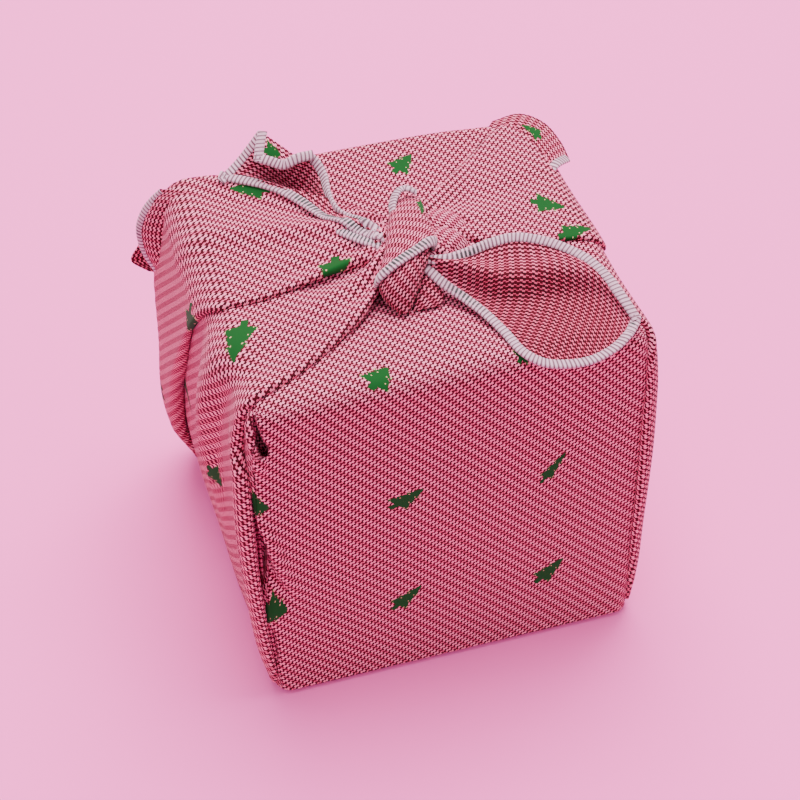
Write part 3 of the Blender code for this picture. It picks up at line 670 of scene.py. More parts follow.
# %% Soft folds of the tails
# each fold's crest line and its height in millimetres go by the share of the tail's length; the line and
# the fold's widths above and below it are shares of the tail's width
TAIL_FOLDS = [
    {"on": "right_tail", "above": 0.22, "below": 0.04,
     "line": [(0.0, 0.30), (0.2, 0.42), (0.38, 0.50), (0.6, 0.42), (0.8, 0.30), (1.0, 0.2)],
     "high": [(0.0, 0.0), (0.12, 1.6), (0.35, 6.2), (0.6, 5.6), (0.8, 2.2), (1.0, 0.0)]},
    {"on": "left_tail", "above": 0.10, "below": 0.10,
     "line": [(0.0, 0.5), (0.3, 0.62), (0.6, 0.80), (1.0, 0.9)],
     "high": [(0.0, 0.0), (0.15, 0.8), (0.4, 1.8), (0.6, 0.8), (0.8, 0.0), (1.0, 0.0)]},
    {"on": "left_tail", "above": 0.14, "below": 0.10,
     "line": [(0.0, 0.3), (0.4, 0.42), (0.8, 0.55), (1.0, 0.6)],
     "high": [(0.0, 0.0), (0.15, -0.4), (0.5, -1.6), (0.8, -0.8), (1.0, 0.0)]},
]


def tail_folds(name, along, across):
    """How far a tail's cloth rises at its soft folds."""
    t, s = np.linspace(0, 1, along)[:, None], np.linspace(0, 1, across)[None]
    total = np.zeros((along, across))
    for fold in TAIL_FOLDS:
        if fold["on"] == name:
            line, high = (np.interp(t, *np.array(fold[k]).T) for k in ("line", "high"))
            off = (s - line) / np.where(s < line, fold["above"], fold["below"])
            total += high * np.exp(-off ** 2)
    return total


print("the right tail's fold is up to", tail_folds("right_tail", 84, 34).max().round(1), "mm high")


# %% Loose sheets
def loose_sheet(name, rows, along, across, measure, rests=False):
    """A loose sheet through its sections. measure is the border, near or far, that the threads run along."""
    sections = [through(r[1:], across) for r in rows]
    grid = np.stack([through([s[j] for s in sections], along) for j in range(across)], 1)
    grid[..., 2] += tail_folds(name, along, across)
    if rests:
        grid = resting(grid)
    line = grid[:, 0] if measure == "near" else grid[:, -1]
    wide = distances(grid.swapaxes(0, 1)).T
    if measure == "far":
        wide = wide[:, -1:] - wide
    weave = np.stack([np.repeat(distances(line)[:, None], across, 1), wide], -1)
    add_sheet(name, grid, weave, weave)
    return grid


# %% Right tail
# each section is named and has three points: upper border, middle, lower border
RIGHT_TAIL = [
    ("in knot", (-1, -6, 128.5), (-1, -7.5, 127.0), (-2, -9, 126)),
    ("root", (2.4, -11.8, 130.2), (1.6, -13.6, 128.8), (0.6, -15.4, 128.0)),
    ("neck", (8.0, -15.9, 132.0), (7.0, -19.5, 128.0), (4.6, -22.3, 125.8)),
    ("a", (14.5, -15.8, 132.8), (12.6, -22.6, 125.8), (9.0, -27.2, 123.6)),
    ("b", (22.0, -14.2, 133.2), (18.0, -26.0, 124.2), (13.0, -34.7, 122.8)),
    ("c", (29.6, -14.0, 133.4), (25.0, -29.0, 123.2), (16.0, -43.0, 122.0)),
    ("d", (36.5, -16.4, 132.8), (33.0, -31.0, 122.8), (18.5, -52.0, 121.2)),
    ("e", (43.2, -20.8, 131.6), (40.0, -34.0, 122.6), (23.5, -57.6, 119.8)),
    ("f", (49.0, -27.0, 130.0), (45.6, -38.0, 122.5), (30.5, -59.6, 118.8)),
    ("g", (52.6, -34.6, 128.2), (49.4, -43.4, 122.4), (38.4, -60.2, 119.0)),
    ("h", (54.4, -42.6, 126.4), (52.4, -48.0, 122.5), (46.4, -58.6, 120.6)),
    ("tip", (56.5, -50.2, 123.2), (55.2, -52.0, 122.5), (52.4, -55.0, 121.9)),
]
right_tail = loose_sheet("right_tail", RIGHT_TAIL, 84, 34, "near", rests=True)
print("right tail reaches x =", right_tail[..., 0].max().round(1))

# %% Left tail and its turned-up lapel
# each section's three points go from the lower border to the upper one, and the lapel goes on from there
LEFT_TAIL = [
    ("in knot", (-1, -6, 127.5), (-1, -2, 127.5), (-1, 1, 128)),
    ("root", (-7.9, -2.4, 129.0), (-7.4, 0.6, 128.2), (-6.8, 3.2, 128.8)),
    ("neck", (-12.2, 2.1, 129.0), (-11.2, 5.4, 127.6), (-9.6, 7.8, 129.8)),
    ("a", (-16.0, 7.3, 129.0), (-14.2, 11.4, 126.9), (-12.4, 12.6, 130.2)),
    ("b", (-19.6, 13.3, 128.8), (-16.3, 18.9, 126.4), (-15.3, 17.4, 130.5)),
    ("c", (-22.8, 19.9, 128.5), (-18.0, 26.4, 125.8), (-15.7, 24.9, 131.0)),
    ("d", (-26.4, 26.6, 128.2), (-20.4, 34.0, 125.6), (-14.6, 33.1, 132.5)),
    ("e", (-30.3, 32.1, 128.2), (-23.4, 39.2, 126.3), (-16.8, 38.7, 135.5)),
    ("f", (-34.4, 36.1, 128.2), (-26.2, 43.2, 128.0), (-22.1, 37.9, 136.5)),
    ("g", (-38.9, 39.6, 128.2), (-31.7, 43.5, 130.5), (-25.6, 41.0, 138.5)),
    ("h", (-42.9, 42.5, 128.2), (-36.8, 44.6, 132.0), (-28.8, 45.3, 140.0)),
    ("tip", (-46.1, 45.1, 128.2), (-38.8, 47.7, 133.0), (-31.7, 48.6, 141.0)),
]
LEFT_LAPEL = [
    ("e", (-16.8, 38.7, 135.5), (-16.9, 38.3, 135.0), (-17.0, 37.9, 134.6)),
    ("f", (-22.1, 37.9, 136.5), (-22.0, 37.3, 136.0), (-21.9, 36.7, 135.3)),
    ("g", (-25.6, 41.0, 138.5), (-26.3, 38.0, 136.6), (-27.1, 35.9, 134.5)),
    ("h", (-28.8, 45.3, 140.0), (-30.2, 41.5, 137.6), (-31.4, 38.7, 135.0)),
    ("tip", (-31.7, 48.6, 141.0), (-33.6, 44.6, 138.5), (-35.3, 40.6, 136.0)),
]
left_tail = loose_sheet("left_tail", LEFT_TAIL, 84, 30, "near", rests=True)
left_lapel = loose_sheet("left_lapel", LEFT_LAPEL, 28, 14, "near")
print("left tail is up to", left_tail[..., 2].max().round(1), "mm high")

# %% [markdown]
# ## Ears
# Where a wing meets the back panel, a corner of cloth stands out beside it like an ear. Ears are loose
# sheets too, made with the same sections as the tails. A hemmed corner lies over the left one.

# %% Ears and the hemmed corner
# each section's three points go from the block outwards
LEFT_EAR = [
    ("top", (-54, 48, 119.0), (-60, 51, 119.5), (-65.0, 53.0, 118.0)),
    ("a", (-56, 50, 113.0), (-62, 53, 112.5), (-68.5, 54.5, 110.5)),
    ("b", (-57, 51, 106.0), (-64, 54, 105.0), (-69.8, 55.0, 104.5)),
    ("c", (-58, 52, 100.0), (-65, 55, 99.5), (-71.8, 55.2, 100.5)),
    ("d", (-58, 52, 94.0), (-66, 55, 94.0), (-74.5, 55.5, 94.7)),
    ("foot", (-59, 52, 87.0), (-64, 54, 88.0), (-69.5, 53.5, 91.0)),
]
# the hemmed corner that lies over the left ear
LEFT_CORNER = [
    ("top", (-50.0, 42.0, 125.6), (-57.5, 46.0, 125.8), (-63.7, 50.0, 124.9)),
    ("a", (-54.0, 42.0, 123.5), (-62.0, 46.5, 123.0), (-67.0, 52.0, 120.4)),
    ("b", (-57.5, 42.0, 119.0), (-65.5, 47.0, 118.0), (-69.8, 53.0, 115.6)),
    ("c", (-59.0, 42.0, 112.5), (-67.5, 47.0, 112.0), (-71.7, 53.5, 109.7)),
    ("d", (-60.5, 41.0, 106.0), (-68.0, 46.5, 106.5), (-71.7, 53.0, 103.7)),
    ("e", (-61.0, 40.0, 100.5), (-67.5, 45.5, 102.0), (-70.6, 52.0, 98.9)),
    ("f", (-61.5, 39.0, 96.5), (-66.4, 44.5, 97.5), (-68.4, 50.5, 94.2)),
    ("foot", (-62.0, 39.0, 93.0), (-65.0, 43.5, 93.5), (-66.2, 49.0, 91.1)),
]
RIGHT_EAR = [
    ("rear", (40, 47, 120.5), (44, 51, 123.4), (47, 54.5, 123.7)),
    ("a", (47, 42, 120.3), (52, 49.0, 124.6), (56.0, 54.5, 124.7)),
    ("b", (51, 36, 120.0), (56.0, 42.0, 124.0), (62.5, 49, 123.6)),
    ("c", (53, 29, 120.0), (58.0, 34.5, 123.2), (65.0, 40.0, 121.8)),
    ("front", (54.7, 23.0, 120.6), (59.2, 26.4, 122.4), (65.0, 31.0, 120.4)),
]
loose_sheet("left_ear", LEFT_EAR, 36, 14, "far")
left_corner = loose_sheet("left_corner", LEFT_CORNER, 44, 18, "far")
right_ear = loose_sheet("right_ear", RIGHT_EAR, 36, 18, "far")

# %% [markdown]
# ## The knot
# A square knot seen from the front is a band that comes forward over the other end, and two lobes that
# leave below it. Gathered cloth is nearly a tube, but wider than it is high and fuller on one side. A
# curve with a bevel would have one section all the way. So each piece is a tube through measured sections,
# each with its own width, its own heights above and below, and its own lean.


# %% Gathered tubes
WIDE_POWER, TALL_POWER = 0.9, 0.85      # under 1, they make the tube's section a little boxy


def signed_power(values, power):
    """The power of each value's size, with its sign kept."""
    return np.sign(values) * np.abs(values) ** power


def tube(name, rows, sides=36, steps=48, pleat=0.0):
    """A gathered tube of cloth through sections: left, right, height above and below, lean to the back."""
    left = through([r[0] for r in rows], steps)
    right = through([r[1] for r in rows], steps)
    above, below, lean = through([r[2:] for r in rows], steps).T[..., None]
    centre = (left + right) / 2
    half = np.linalg.norm(right - left, axis=1, keepdims=True) / 2
    across = (right - left) / (2 * half)
    up = np.concatenate([0 * lean, lean, 0 * lean + 1], 1)
    up -= across * np.sum(up * across, 1, keepdims=True)
    up /= np.linalg.norm(up, axis=1, keepdims=True)
    a = np.linspace(math.pi * 1.5, -math.pi * 0.5, sides, endpoint=False)[None]
    upper = np.sin(a) > 0
    ripple = 1 + pleat * np.sin(a * 5 + distances(centre)[:, None] / 11) * upper
    wide = signed_power(np.cos(a), WIDE_POWER) * half
    tall = signed_power(np.sin(a), TALL_POWER) * np.where(upper, above, below) * ripple
    points = centre[:, None] + across[:, None] * wide[..., None] + up[:, None] * tall[..., None]
    # the threads run along the tube, measured on its left side and on its right side, and round it
    closed = np.concatenate([points, points[:, :1]], 1)
    around = distances(closed.swapaxes(0, 1)).T
    around = around - around[:, sides // 2:sides // 2 + 1]
    share = np.clip((np.linspace(0, 1, sides + 1) - 0.25) * 2, 0, 1)
    from_left, from_right = [(run - run[-1])[:, None] for run in (distances(left), distances(right))]
    along = from_left * (1 - share) + from_right * share
    add_sheet(name, points, turned(along, around), np.stack([along, around], -1), wrap=True)
    return points


print("the root of 0.25 with a minus sign kept:", signed_power(-0.25, 0.5))

# %% Band and lobes of the knot
# each section's left and right ends, its height above and below them, and its lean to the back
KNOT_BAND = [
    ((6.6, 22.7, 122.5), (11.6, 22.2, 122.5), 1.0, 2.0, 0.5),
    ((1.9, 15.6, 128.0), (10.2, 16.6, 128.0), 2.0, 3.0, 0.3),
    ((-1.0, 9.3, 131.0), (9.0, 9.8, 131.0), 2.5, 3.5, 0.1),
    ((-3.8, 2.0, 132.5), (8.1, 2.9, 132.5), 3.0, 4.0, 0.0),
    ((-6.6, -5.2, 133.0), (7.5, -4.0, 133.2), 3.2, 5.0, -0.15),
    ((-10.2, -13.6, 132.0), (7.2, -7.6, 133.0), 4.0, 6.0, -0.35),
    ((-12.9, -16.9, 130.0), (7.0, -9.4, 132.5), 5.0, 6.5, -0.5),
    ((-14.2, -19.4, 128.5), (6.1, -11.2, 131.5), 6.0, 6.5, -0.6),
]
KNOT_LOBE = [
    ((-11.5, -15.0, 130.0), (4.6, -9.5, 131.8), 4.0, 5.0, -0.5),
    ((-12.9, -19.4, 128.2), (3.4, -13.6, 130.2), 5.0, 6.0, -0.6),
    ((-12.8, -21.2, 126.8), (0.8, -17.2, 128.6), 4.8, 5.5, -0.7),
    ((-12.0, -22.9, 125.2), (-1.8, -20.8, 126.3), 4.0, 4.5, -0.75),
    ((-10.4, -24.6, 123.6), (-4.2, -23.8, 124.3), 2.8, 3.0, -0.8),
    ((-9.0, -26.2, 122.0), (-6.3, -26.2, 122.0), 1.2, 1.0, -0.8),
]
RIGHT_LOBE = [
    ((-1.0, -10.0, 127.0), (5.4, -9.0, 127.0), 2.0, 3.0, -0.4),
    ((0.0, -14.5, 125.8), (4.6, -14.0, 125.8), 2.0, 3.0, -0.5),
    ((-1.0, -19.0, 124.0), (4.6, -19.5, 123.8), 2.2, 3.0, -0.6),
    ((-3.0, -22.6, 122.8), (5.4, -22.8, 122.4), 1.6, 2.0, -0.7),
    ((-4.5, -25.6, 121.4), (3.0, -25.6, 121.4), 0.8, 1.0, -0.8),
]
knot_band = tube("knot_band", KNOT_BAND, pleat=0.05)
tube("knot_lobe", KNOT_LOBE, pleat=0.03)
tube("right_lobe", RIGHT_LOBE, steps=36, pleat=0.05)

# %% [markdown]
# ## Bunches
# Between the knot and the top panel the gathered cloth is packed tight. Only small rounded parts of it
# show beside the knot, so three flattened balls with shallow waves are enough.

# %% Bunches beside the knot
BUNCHES = [
    {"x": -1.0, "y": -3.0, "z": 124.5, "rx": 12, "ry": 14, "rz": 7.0},
    {"x": 12.0, "y": 5.0, "z": 124.5, "rx": 9, "ry": 7.5, "rz": 5.0},
    {"x": 10.5, "y": -3.5, "z": 124.5, "rx": 8, "ry": 7, "rz": 5.5},
]
GATHERED = 1.25         # how much more cloth a bunch takes up than its own width


def bunch(name, row, rings=18, sides=28):
    """A rounded gather of cloth beside the knot."""
    down = np.linspace(0.02, math.pi - 0.02, rings)
    round_it = np.linspace(0, 2 * math.pi, sides, endpoint=False)
    down, round_it = np.meshgrid(down, round_it, indexing="ij")
    wave = 1 + 0.04 * np.sin(5 * round_it + 2 * down)
    points = np.stack([row["x"] + row["rx"] * np.sin(down) * np.cos(round_it) * wave,
                       row["y"] + row["ry"] * np.sin(down) * np.sin(round_it) * wave,
                       row["z"] + row["rz"] * np.cos(down)], -1)
    closed = np.concatenate([points, points[:, :1]], 1)
    weave = turned(closed[..., 0] * GATHERED, closed[..., 1] * GATHERED)
    add_sheet(name, points, weave, weave, wrap=True)


for n, row in enumerate(BUNCHES):
    bunch(f"bunch_{n}", row)

# %% [markdown]
# ## One piece of cloth
# All grids become one mesh, because the furoshiki is one piece. Its two UV maps carry the threads and the
# trees, and a face attribute carries painted shade: where it is set, the weave is drawn more red, as cloth
# in shade that catches red bounce light. Points that two grids share are merged, and then the Solidify
# modifier gives the cloth its thickness: it keeps the grids themselves thin and easy to change.

# %% A mesh from sheets
# how much painted shade and red bounce light each sheet gets, drawn as a more red weave where it lies in
# shade
SHADE_AND_BOUNCE = {"right_tail": 1.0, "left_tail": 0.8, "knot_lobe": 0.7, "knot_band": 0.35, "right_lobe": 1.0,
              "left_ear": 1.0, "right_ear": 0.6, "left_corner": 0.5}


def shade_and_bounce_of(part):
    """The painted shade and red bounce light on each face of a sheet. The right tail gets most away from its
    upper border, where it lies in shade.
    """
    name, points, faces, weave = part[:4]
    share = np.full(len(faces), SHADE_AND_BOUNCE.get(name, 0.0))
    if name == "right_tail":
        from_border = weave[:, :, 1].mean(1)
        share = share * (1 + 0.5 * smooth_step((from_border - 9) / 6))
    return share


def mesh_from(name, parts, layers):
    """One mesh object from grids in millimetres, with its cloth coordinates as UV maps in millimetres."""
    points, faces = joined(parts)
    mesh = bpy.data.meshes.new(name)
    mesh.from_pydata((points * MM).tolist(), [], faces)
    for k, layer in enumerate(layers):
        uv = np.concatenate([p[3 + k] for p in parts])
        mesh.uv_layers.new(name=layer).data.foreach_set("uv", uv.astype(np.float32).ravel())
    # painted shade and red bounce light for each face, kept for the material as a face attribute
    shade_share = np.concatenate([shade_and_bounce_of(p) for p in parts])
    mesh.attributes.new("painted_shade", "FLOAT", "FACE").data.foreach_set("value", shade_share.astype(np.float32))
    mesh.shade_smooth()
    made = bpy.data.objects.new(name, mesh)
    bpy.context.scene.collection.objects.link(made)
    return made


print("sheets:", len(SHEETS), "points:", sum(len(part[1]) for part in SHEETS))

# %% Joining the cloth
furoshiki = mesh_from("furoshiki", SHEETS, ("weave", "motif"))
bm = bmesh.new()
bm.from_mesh(furoshiki.data)
bmesh.ops.remove_doubles(bm, verts=bm.verts, dist=0.00002)
bmesh.ops.dissolve_degenerate(bm, edges=bm.edges, dist=0.00001)
bm.to_mesh(furoshiki.data)
bm.free()

thick = furoshiki.modifiers.new("cloth thickness", "SOLIDIFY")
thick.thickness = CLOTH * MM
thick.offset = 0.0
area = sum(p.area for p in furoshiki.data.polygons)
print("furoshiki: faces", len(furoshiki.data.polygons), "area m2", round(area, 4))

# %% [markdown]
# ## Overlocked hems
# An overlock binds the cut border with loops of thread, close together, so the hem is a thick ridged
# band. Single loops would take millions of faces. Here a flattened ring of twelve points is carried
# along the border, and a ripple in its thickness makes the stitches. The hem keeps its length and width
# as a UV map, so that the material can put a strand on each ripple.

# %% A hem along a border
STITCH, HEM = 1.3, 2.9      # from stitch to stitch, and the width of the hem
RING_STEP = 0.2             # from one ring of the hem to the next
THREAD_HIGH = 0.4           # how far the thread stands over the cloth
# the hem's ring: how far in from the border, and how high, as shares of its width and height
HEM_RING = [(1.0, 0.05), (0.93, 0.75), (0.7, 0.95), (0.45, 1.0), (0.2, 0.95), (0.02, 0.7), (-0.07, 0.0),
            (0.02, -0.7), (0.2, -0.95), (0.45, -1.0), (0.7, -0.95), (0.93, -0.75)]
NO_DEEP_GAP_SHADOW = (2, 2)          # past the hem's end
DEEP_GAP_SHADOW_FADE = 0.12           # the share of a hem over which its flecks begin and end


def hem_on(name, edge, inner, dark=NO_DEEP_GAP_SHADOW):
    """The overlock along a sheet's border: edge is the border's points, inner the row inside it."""
    run = distances(edge)
    at = np.linspace(0, run[-1], max(8, int(run[-1] / RING_STEP)))
    outer, within = [np.stack([np.interp(at, run, line[:, k]) for k in range(3)], 1)
                     for line in (edge, inner)]
    ahead = np.gradient(outer, axis=0)
    ahead /= np.linalg.norm(ahead, axis=1, keepdims=True)
    inward = within - outer
    inward -= ahead * np.sum(inward * ahead, 1, keepdims=True)
    inward /= np.linalg.norm(inward, axis=1, keepdims=True)
    up = np.cross(ahead, inward)
    relief = 0.5 + 0.5 * np.abs(np.sin(math.pi * at / STITCH)) ** 0.6
    high = (CLOTH / 2 + THREAD_HIGH * relief)[:, None]
    points = np.stack([outer + inward * (HEM * share) + up * (high * side) for share, side in HEM_RING], 1)
    ring = np.array([share for share, side in HEM_RING] + [1.0])
    weave = np.stack(np.broadcast_arrays(at[:, None], ring[None]), -1)
    share = at / run[-1]
    deep_gap_shadow = smooth_step((share - dark[0]) / DEEP_GAP_SHADOW_FADE) * smooth_step((dark[1] - share) / DEEP_GAP_SHADOW_FADE)
    faces, corners = grid_faces(*points.shape[:2], wrap=True)
    return name, points.reshape(-1, 3), faces, weave[corners], np.stack([deep_gap_shadow, deep_gap_shadow], -1)[corners[0]]


print("rings to a stitch:", STITCH / RING_STEP)

# %% Borders of the sheets
def border(grid, which, start=0.0, stop=1.0, depth=4):
    """A sheet's border from the share start to the share stop, and the line depth rows inside it."""
    lines = {"near": (grid[:, 0], grid[:, depth]), "far": (grid[:, -1], grid[:, -1 - depth]),
             "first": (grid[0], grid[depth]), "last": (grid[-1], grid[-1 - depth])}
    edge, inner = lines[which]
    a, b = int(start * (len(edge) - 1)), int(round(stop * (len(edge) - 1)))
    return edge[a:b + 1], inner[a:b + 1]


def strip(edge, inner, count=60):
    """A border of its own, as smooth lines through its points and through those inside it."""
    return through(edge, count), through(inner, count)


print("right tail's lower border:", distances(right_tail[:, -1])[-1].round(1), "mm")

# %% Hems
# a second border shows under the left tail's root
LEFT_UNDER = [(-21.6, 12.2, 128.6), (-17.8, 5.4, 129.4), (-13.9, 0.0, 129.8), (-9.6, -4.2, 129.8),
              (-5.0, -7.0, 128.4)]
# the band's own border, curled over where it comes out of the knot
LOOP = {"edge": [(-1.7, 7.2, 131.6), (-1.1, 10.3, 132.6), (0.4, 13.3, 133.4), (2.5, 15.5, 134.2),
                 (4.7, 16.2, 134.6), (6.7, 15.7, 134.4), (8.5, 15, 133.2)],
        "inner": [(-1.3, 6, 132.4), (-0.1, 7.3, 134.2), (1.1, 8.1, 135.2), (2.5, 9.1, 135.8),
                  (3.8, 9.8, 136), (5.3, 10.6, 135.6), (7.2, 12.2, 134.2)]}
BAND_TOP = slice(8, 29)        # the part of the band's last ring that shows
# each hem's near-black painted shadow in its gaps lies between two shares of its length
hems = [
    hem_on("right tail upper", *border(right_tail, "near", 0.09), dark=(0.06, 0.3)),
    hem_on("right tail lower", *border(right_tail, "far", 0.09), dark=(0.06, 0.36)),
    hem_on("right tail tip", *border(right_tail, "last"), dark=(0.3, 0.7)),
    hem_on("left tail lower", *border(left_tail, "near", 0.05), dark=(0.1, 0.7)),
    hem_on("left tail upper", *border(left_tail, "far", 0.06, 0.66), dark=(0.1, 0.5)),
    hem_on("left tail end", *border(left_tail, "last")),
    hem_on("left tail second", *strip(LEFT_UNDER, [(x + 1.6, y + 2.2, z + 0.3) for x, y, z in LEFT_UNDER]),
           dark=(0, 1)),
    hem_on("lapel", *border(left_lapel, "far")),
    hem_on("lapel end", *border(left_lapel, "last", depth=2)),
    hem_on("left corner", *border(left_corner, "far"), dark=(0.4, 0.6)),
    hem_on("right ear", *border(right_ear, "last", 0.1)),
    hem_on("knot crossing", knot_band[-1, BAND_TOP], knot_band[-6, BAND_TOP], dark=(0.15, 0.85)),
    hem_on("knot loop", *strip(LOOP["edge"], LOOP["inner"])),
]
overlock = mesh_from("overlock_hem", hems, ("stitch", "deep_gap_shadow"))
print("hems:", len(hems), "faces", len(overlock.data.polygons))

# %% [markdown]
# ## Materials
# Every finish is built from nodes, with no pictures. One helper keeps that short: it adds a node, sets it
# and joins its inputs, and so a finish reads from its texture down to its shader. Colours are written as
# people pick them on a screen, and then changed into the linear values that light is worked out in. The
# render pales bright colours, so the light ones are picked stronger than they are to look.


# %% Node helpers
def linear(hex_colour):
    """An sRGB hex colour as linear RGBA."""
    values = [int(hex_colour[k:k + 2], 16) / 255 for k in (1, 3, 5)]
    return tuple(v / 12.92 if v <= 0.04045 else ((v + 0.055) / 1.055) ** 2.4 for v in values) + (1.0,)


def new_material(name):
    """An empty material and its node tree."""
    made = bpy.data.materials.new(name)
    made.use_nodes = True
    made.node_tree.nodes.clear()
    return made, made.node_tree


def node(tree, kind, *inputs, **settings):
    """Adds a node with its settings and links. Inputs are values or nodes, in order or as {socket: input}."""
    made = tree.nodes.new("ShaderNode" + kind)
    for key, value in settings.items():
        setattr(made, key, value)
    if inputs and isinstance(inputs[0], dict):
        pairs = [(made.inputs[key], value) for key, value in inputs[0].items()]
    else:
        pairs = zip([socket for socket in made.inputs if socket.enabled], inputs)
    for socket, value in pairs:
        if isinstance(value, bpy.types.Node):
            value = next(out for out in value.outputs if out.enabled)
        if isinstance(value, bpy.types.NodeSocket):
            tree.links.new(value, socket)
        else:
            socket.default_value = value
    return made


def off_middle(tree, place):
    """How far a repeating place is from the middle of its repeat, from -0.5 to 0.5."""
    place = node(tree, "Math", place, operation="FRACT")
    return node(tree, "Math", place, 0.5, operation="SUBTRACT")


print("half grey is", round(linear("#808080")[0], 3), "in linear light")

# %% [markdown]
# ### Houndstooth cotton
# The cloth is a fine cotton in crimson and off-white. Houndstooth comes from bands of dark and light
# threads that cross in a twill, and close up it shows dark patches with teeth and light four-pointed
# stars. A checker texture has no teeth. Here the rows are steps across the second coordinate, and every
# half band moves them sideways, which cuts the teeth. Each thread is slightly round.

# %% Rows and bands of thread
CRIMSON, DEEP, BOUNCE_RED = linear("#440613"), linear("#380914"), linear("#D23C62")
ROSE, OFF_WHITE = linear("#DC5680"), linear("#F27CA0")
GREEN, CREAM = linear("#0E4419"), linear("#BC9E7A")
ROW, BAND = 1.45, 3.0       # how often the rows and the bands of the houndstooth repeat
TOOTH = 0.28                # how far a row steps sideways, as a share of a row
# half a dark row as a share of a row, how much narrower it is in a light band, and how much wider it is drawn
# in painted shade
ROW_HALF, ROW_NARROWER, SHADE_WIDER = 0.32, 0.075, 0.05


def houndstooth(tree):
    """Rows of crimson and light thread, wide and narrow by turns, in bands across them."""
    uv = node(tree, "SeparateXYZ", node(tree, "UVMap", uv_map="weave"))
    u = node(tree, "Math", uv.outputs[0], BAND, operation="DIVIDE")
    v = node(tree, "Math", uv.outputs[1], ROW, operation="DIVIDE")
    band = node(tree, "Math", node(tree, "Math", u, operation="FRACT"), 0.5, operation="GREATER_THAN")
    # the rows step sideways inside each band, which gives every dark patch its teeth
    half_bands = node(tree, "Math", u, 2.0, operation="MULTIPLY")
    half_bands = node(tree, "Math", half_bands, operation="FRACT")
    stepped = node(tree, "Math", half_bands, 0.5, operation="LESS_THAN")
    place = node(tree, "Math", stepped, TOOTH, v, operation="MULTIPLY_ADD")
    off = node(tree, "Math", off_middle(tree, place), operation="ABSOLUTE")
    # painted shade and red bounce light: where the face attribute is set, the crimson rows are drawn wider
    # and the light threads more red
    shade_share = node(tree, "Attribute", attribute_name="painted_shade").outputs["Fac"]
    wide = node(tree, "Math", band, -ROW_NARROWER, ROW_HALF, operation="MULTIPLY_ADD")
    wide = node(tree, "Math", shade_share, SHADE_WIDER, wide, operation="MULTIPLY_ADD")
    row = node(tree, "Math", off, wide, operation="LESS_THAN")
    red_bounce = node(tree, "Math", shade_share, 0.5, operation="MULTIPLY")
    light = node(tree, "Mix", band, ROSE, OFF_WHITE, data_type="RGBA")
    light = node(tree, "Mix", red_bounce, light, BOUNCE_RED, data_type="RGBA")
    dark = node(tree, "Mix", band, CRIMSON, DEEP, data_type="RGBA")
    return node(tree, "Mix", row, light, dark, data_type="RGBA")


def thread_relief(tree):
    """The height of the cloth: each thread is slightly round, 8 to a band and 4 to a row."""
    uv = node(tree, "SeparateXYZ", node(tree, "UVMap", uv_map="weave"))
    height = 0.0
    for coordinate, threads in ((uv.outputs[0], 8 / BAND), (uv.outputs[1], 4 / ROW)):
        off = off_middle(tree, node(tree, "Math", coordinate, threads, operation="MULTIPLY"))
        hollow = node(tree, "Math", off, off, operation="MULTIPLY")
        height = node(tree, "Math", height, hollow, operation="SUBTRACT")
    return height


print("a thread is", BAND / 8, "mm thick one way and", round(ROW / 4, 2), "mm the other")

# %% [markdown]
# A fir is three tiers and a trunk. Each tier narrows evenly from its base up, so its edge is a straight
# line in the tree's own coordinates. Those are first snapped to whole threads, which steps the edge as
# weaving does. Cream dots sit at the tips of the tiers.


# %% Fir trees
THREAD = 0.42               # one step of a fir tree's edge
# the tiers of a fir from its base up: bottom, top, half width below and above
TIERS = ((0.0, 3.0, TREE_HALF, 3.3), (3.0, 5.8, 3.9, 2.2), (5.8, TREE_HIGH, 2.9, 0.3))
TRUNK_HALF, TRUNK_LOW, TRUNK_TOP = 1.1, -2.6, 1.0
DOT_UP, DOT_SIDE = 0.32, 0.25       # half the height and width of a cream dot


def between(tree, value, low, high):
    """1 where the value lies between low and high."""
    above = node(tree, "Math", value, low, operation="GREATER_THAN")
    below = node(tree, "Math", value, high, operation="LESS_THAN")
    return node(tree, "Math", above, below, operation="MULTIPLY")


def fir_tree(tree, ground):
    """The ground with a green fir and its cream dots on it."""
    spot = node(tree, "SeparateXYZ", node(tree, "UVMap", uv_map="motif"))
    snapped = [node(tree, "Math", spot.outputs[k], THREAD, operation="SNAP") for k in (0, 1)]
    up, side = [node(tree, "Math", place, THREAD / 2, operation="ADD") for place in snapped]
    side = node(tree, "Math", side, operation="ABSOLUTE")
    trunk = node(tree, "Math", side, TRUNK_HALF, operation="LESS_THAN")
    shape = node(tree, "Math", trunk, between(tree, up, TRUNK_LOW, TRUNK_TOP), operation="MULTIPLY")
    dots = 0.0
    for bottom, top, wide, narrow in TIERS:
        slope = (wide - narrow) / (top - bottom)
        edge = node(tree, "Math", up, -slope, wide + slope * bottom, operation="MULTIPLY_ADD")
        tier = node(tree, "Math", side, edge, operation="LESS_THAN")
        tier = node(tree, "Math", tier, between(tree, up, bottom, top), operation="MULTIPLY")
        shape = node(tree, "Math", shape, tier, operation="MAXIMUM")
        # two cream dots at each tip of the tier, one further in and one further up
        for dot_up, dot_side in ((bottom + 0.2, wide - 1.5), (bottom + 0.9, wide - 0.3)):
            dot = node(tree, "Math", between(tree, up, dot_up - DOT_UP, dot_up + DOT_UP),
                       between(tree, side, dot_side - DOT_SIDE, dot_side + DOT_SIDE), operation="MULTIPLY")
            dots = node(tree, "Math", dot, dots, operation="MAXIMUM")
    green = node(tree, "Mix", shape, ground, GREEN, data_type="RGBA")
    return node(tree, "Mix", dots, green, CREAM, data_type="RGBA")


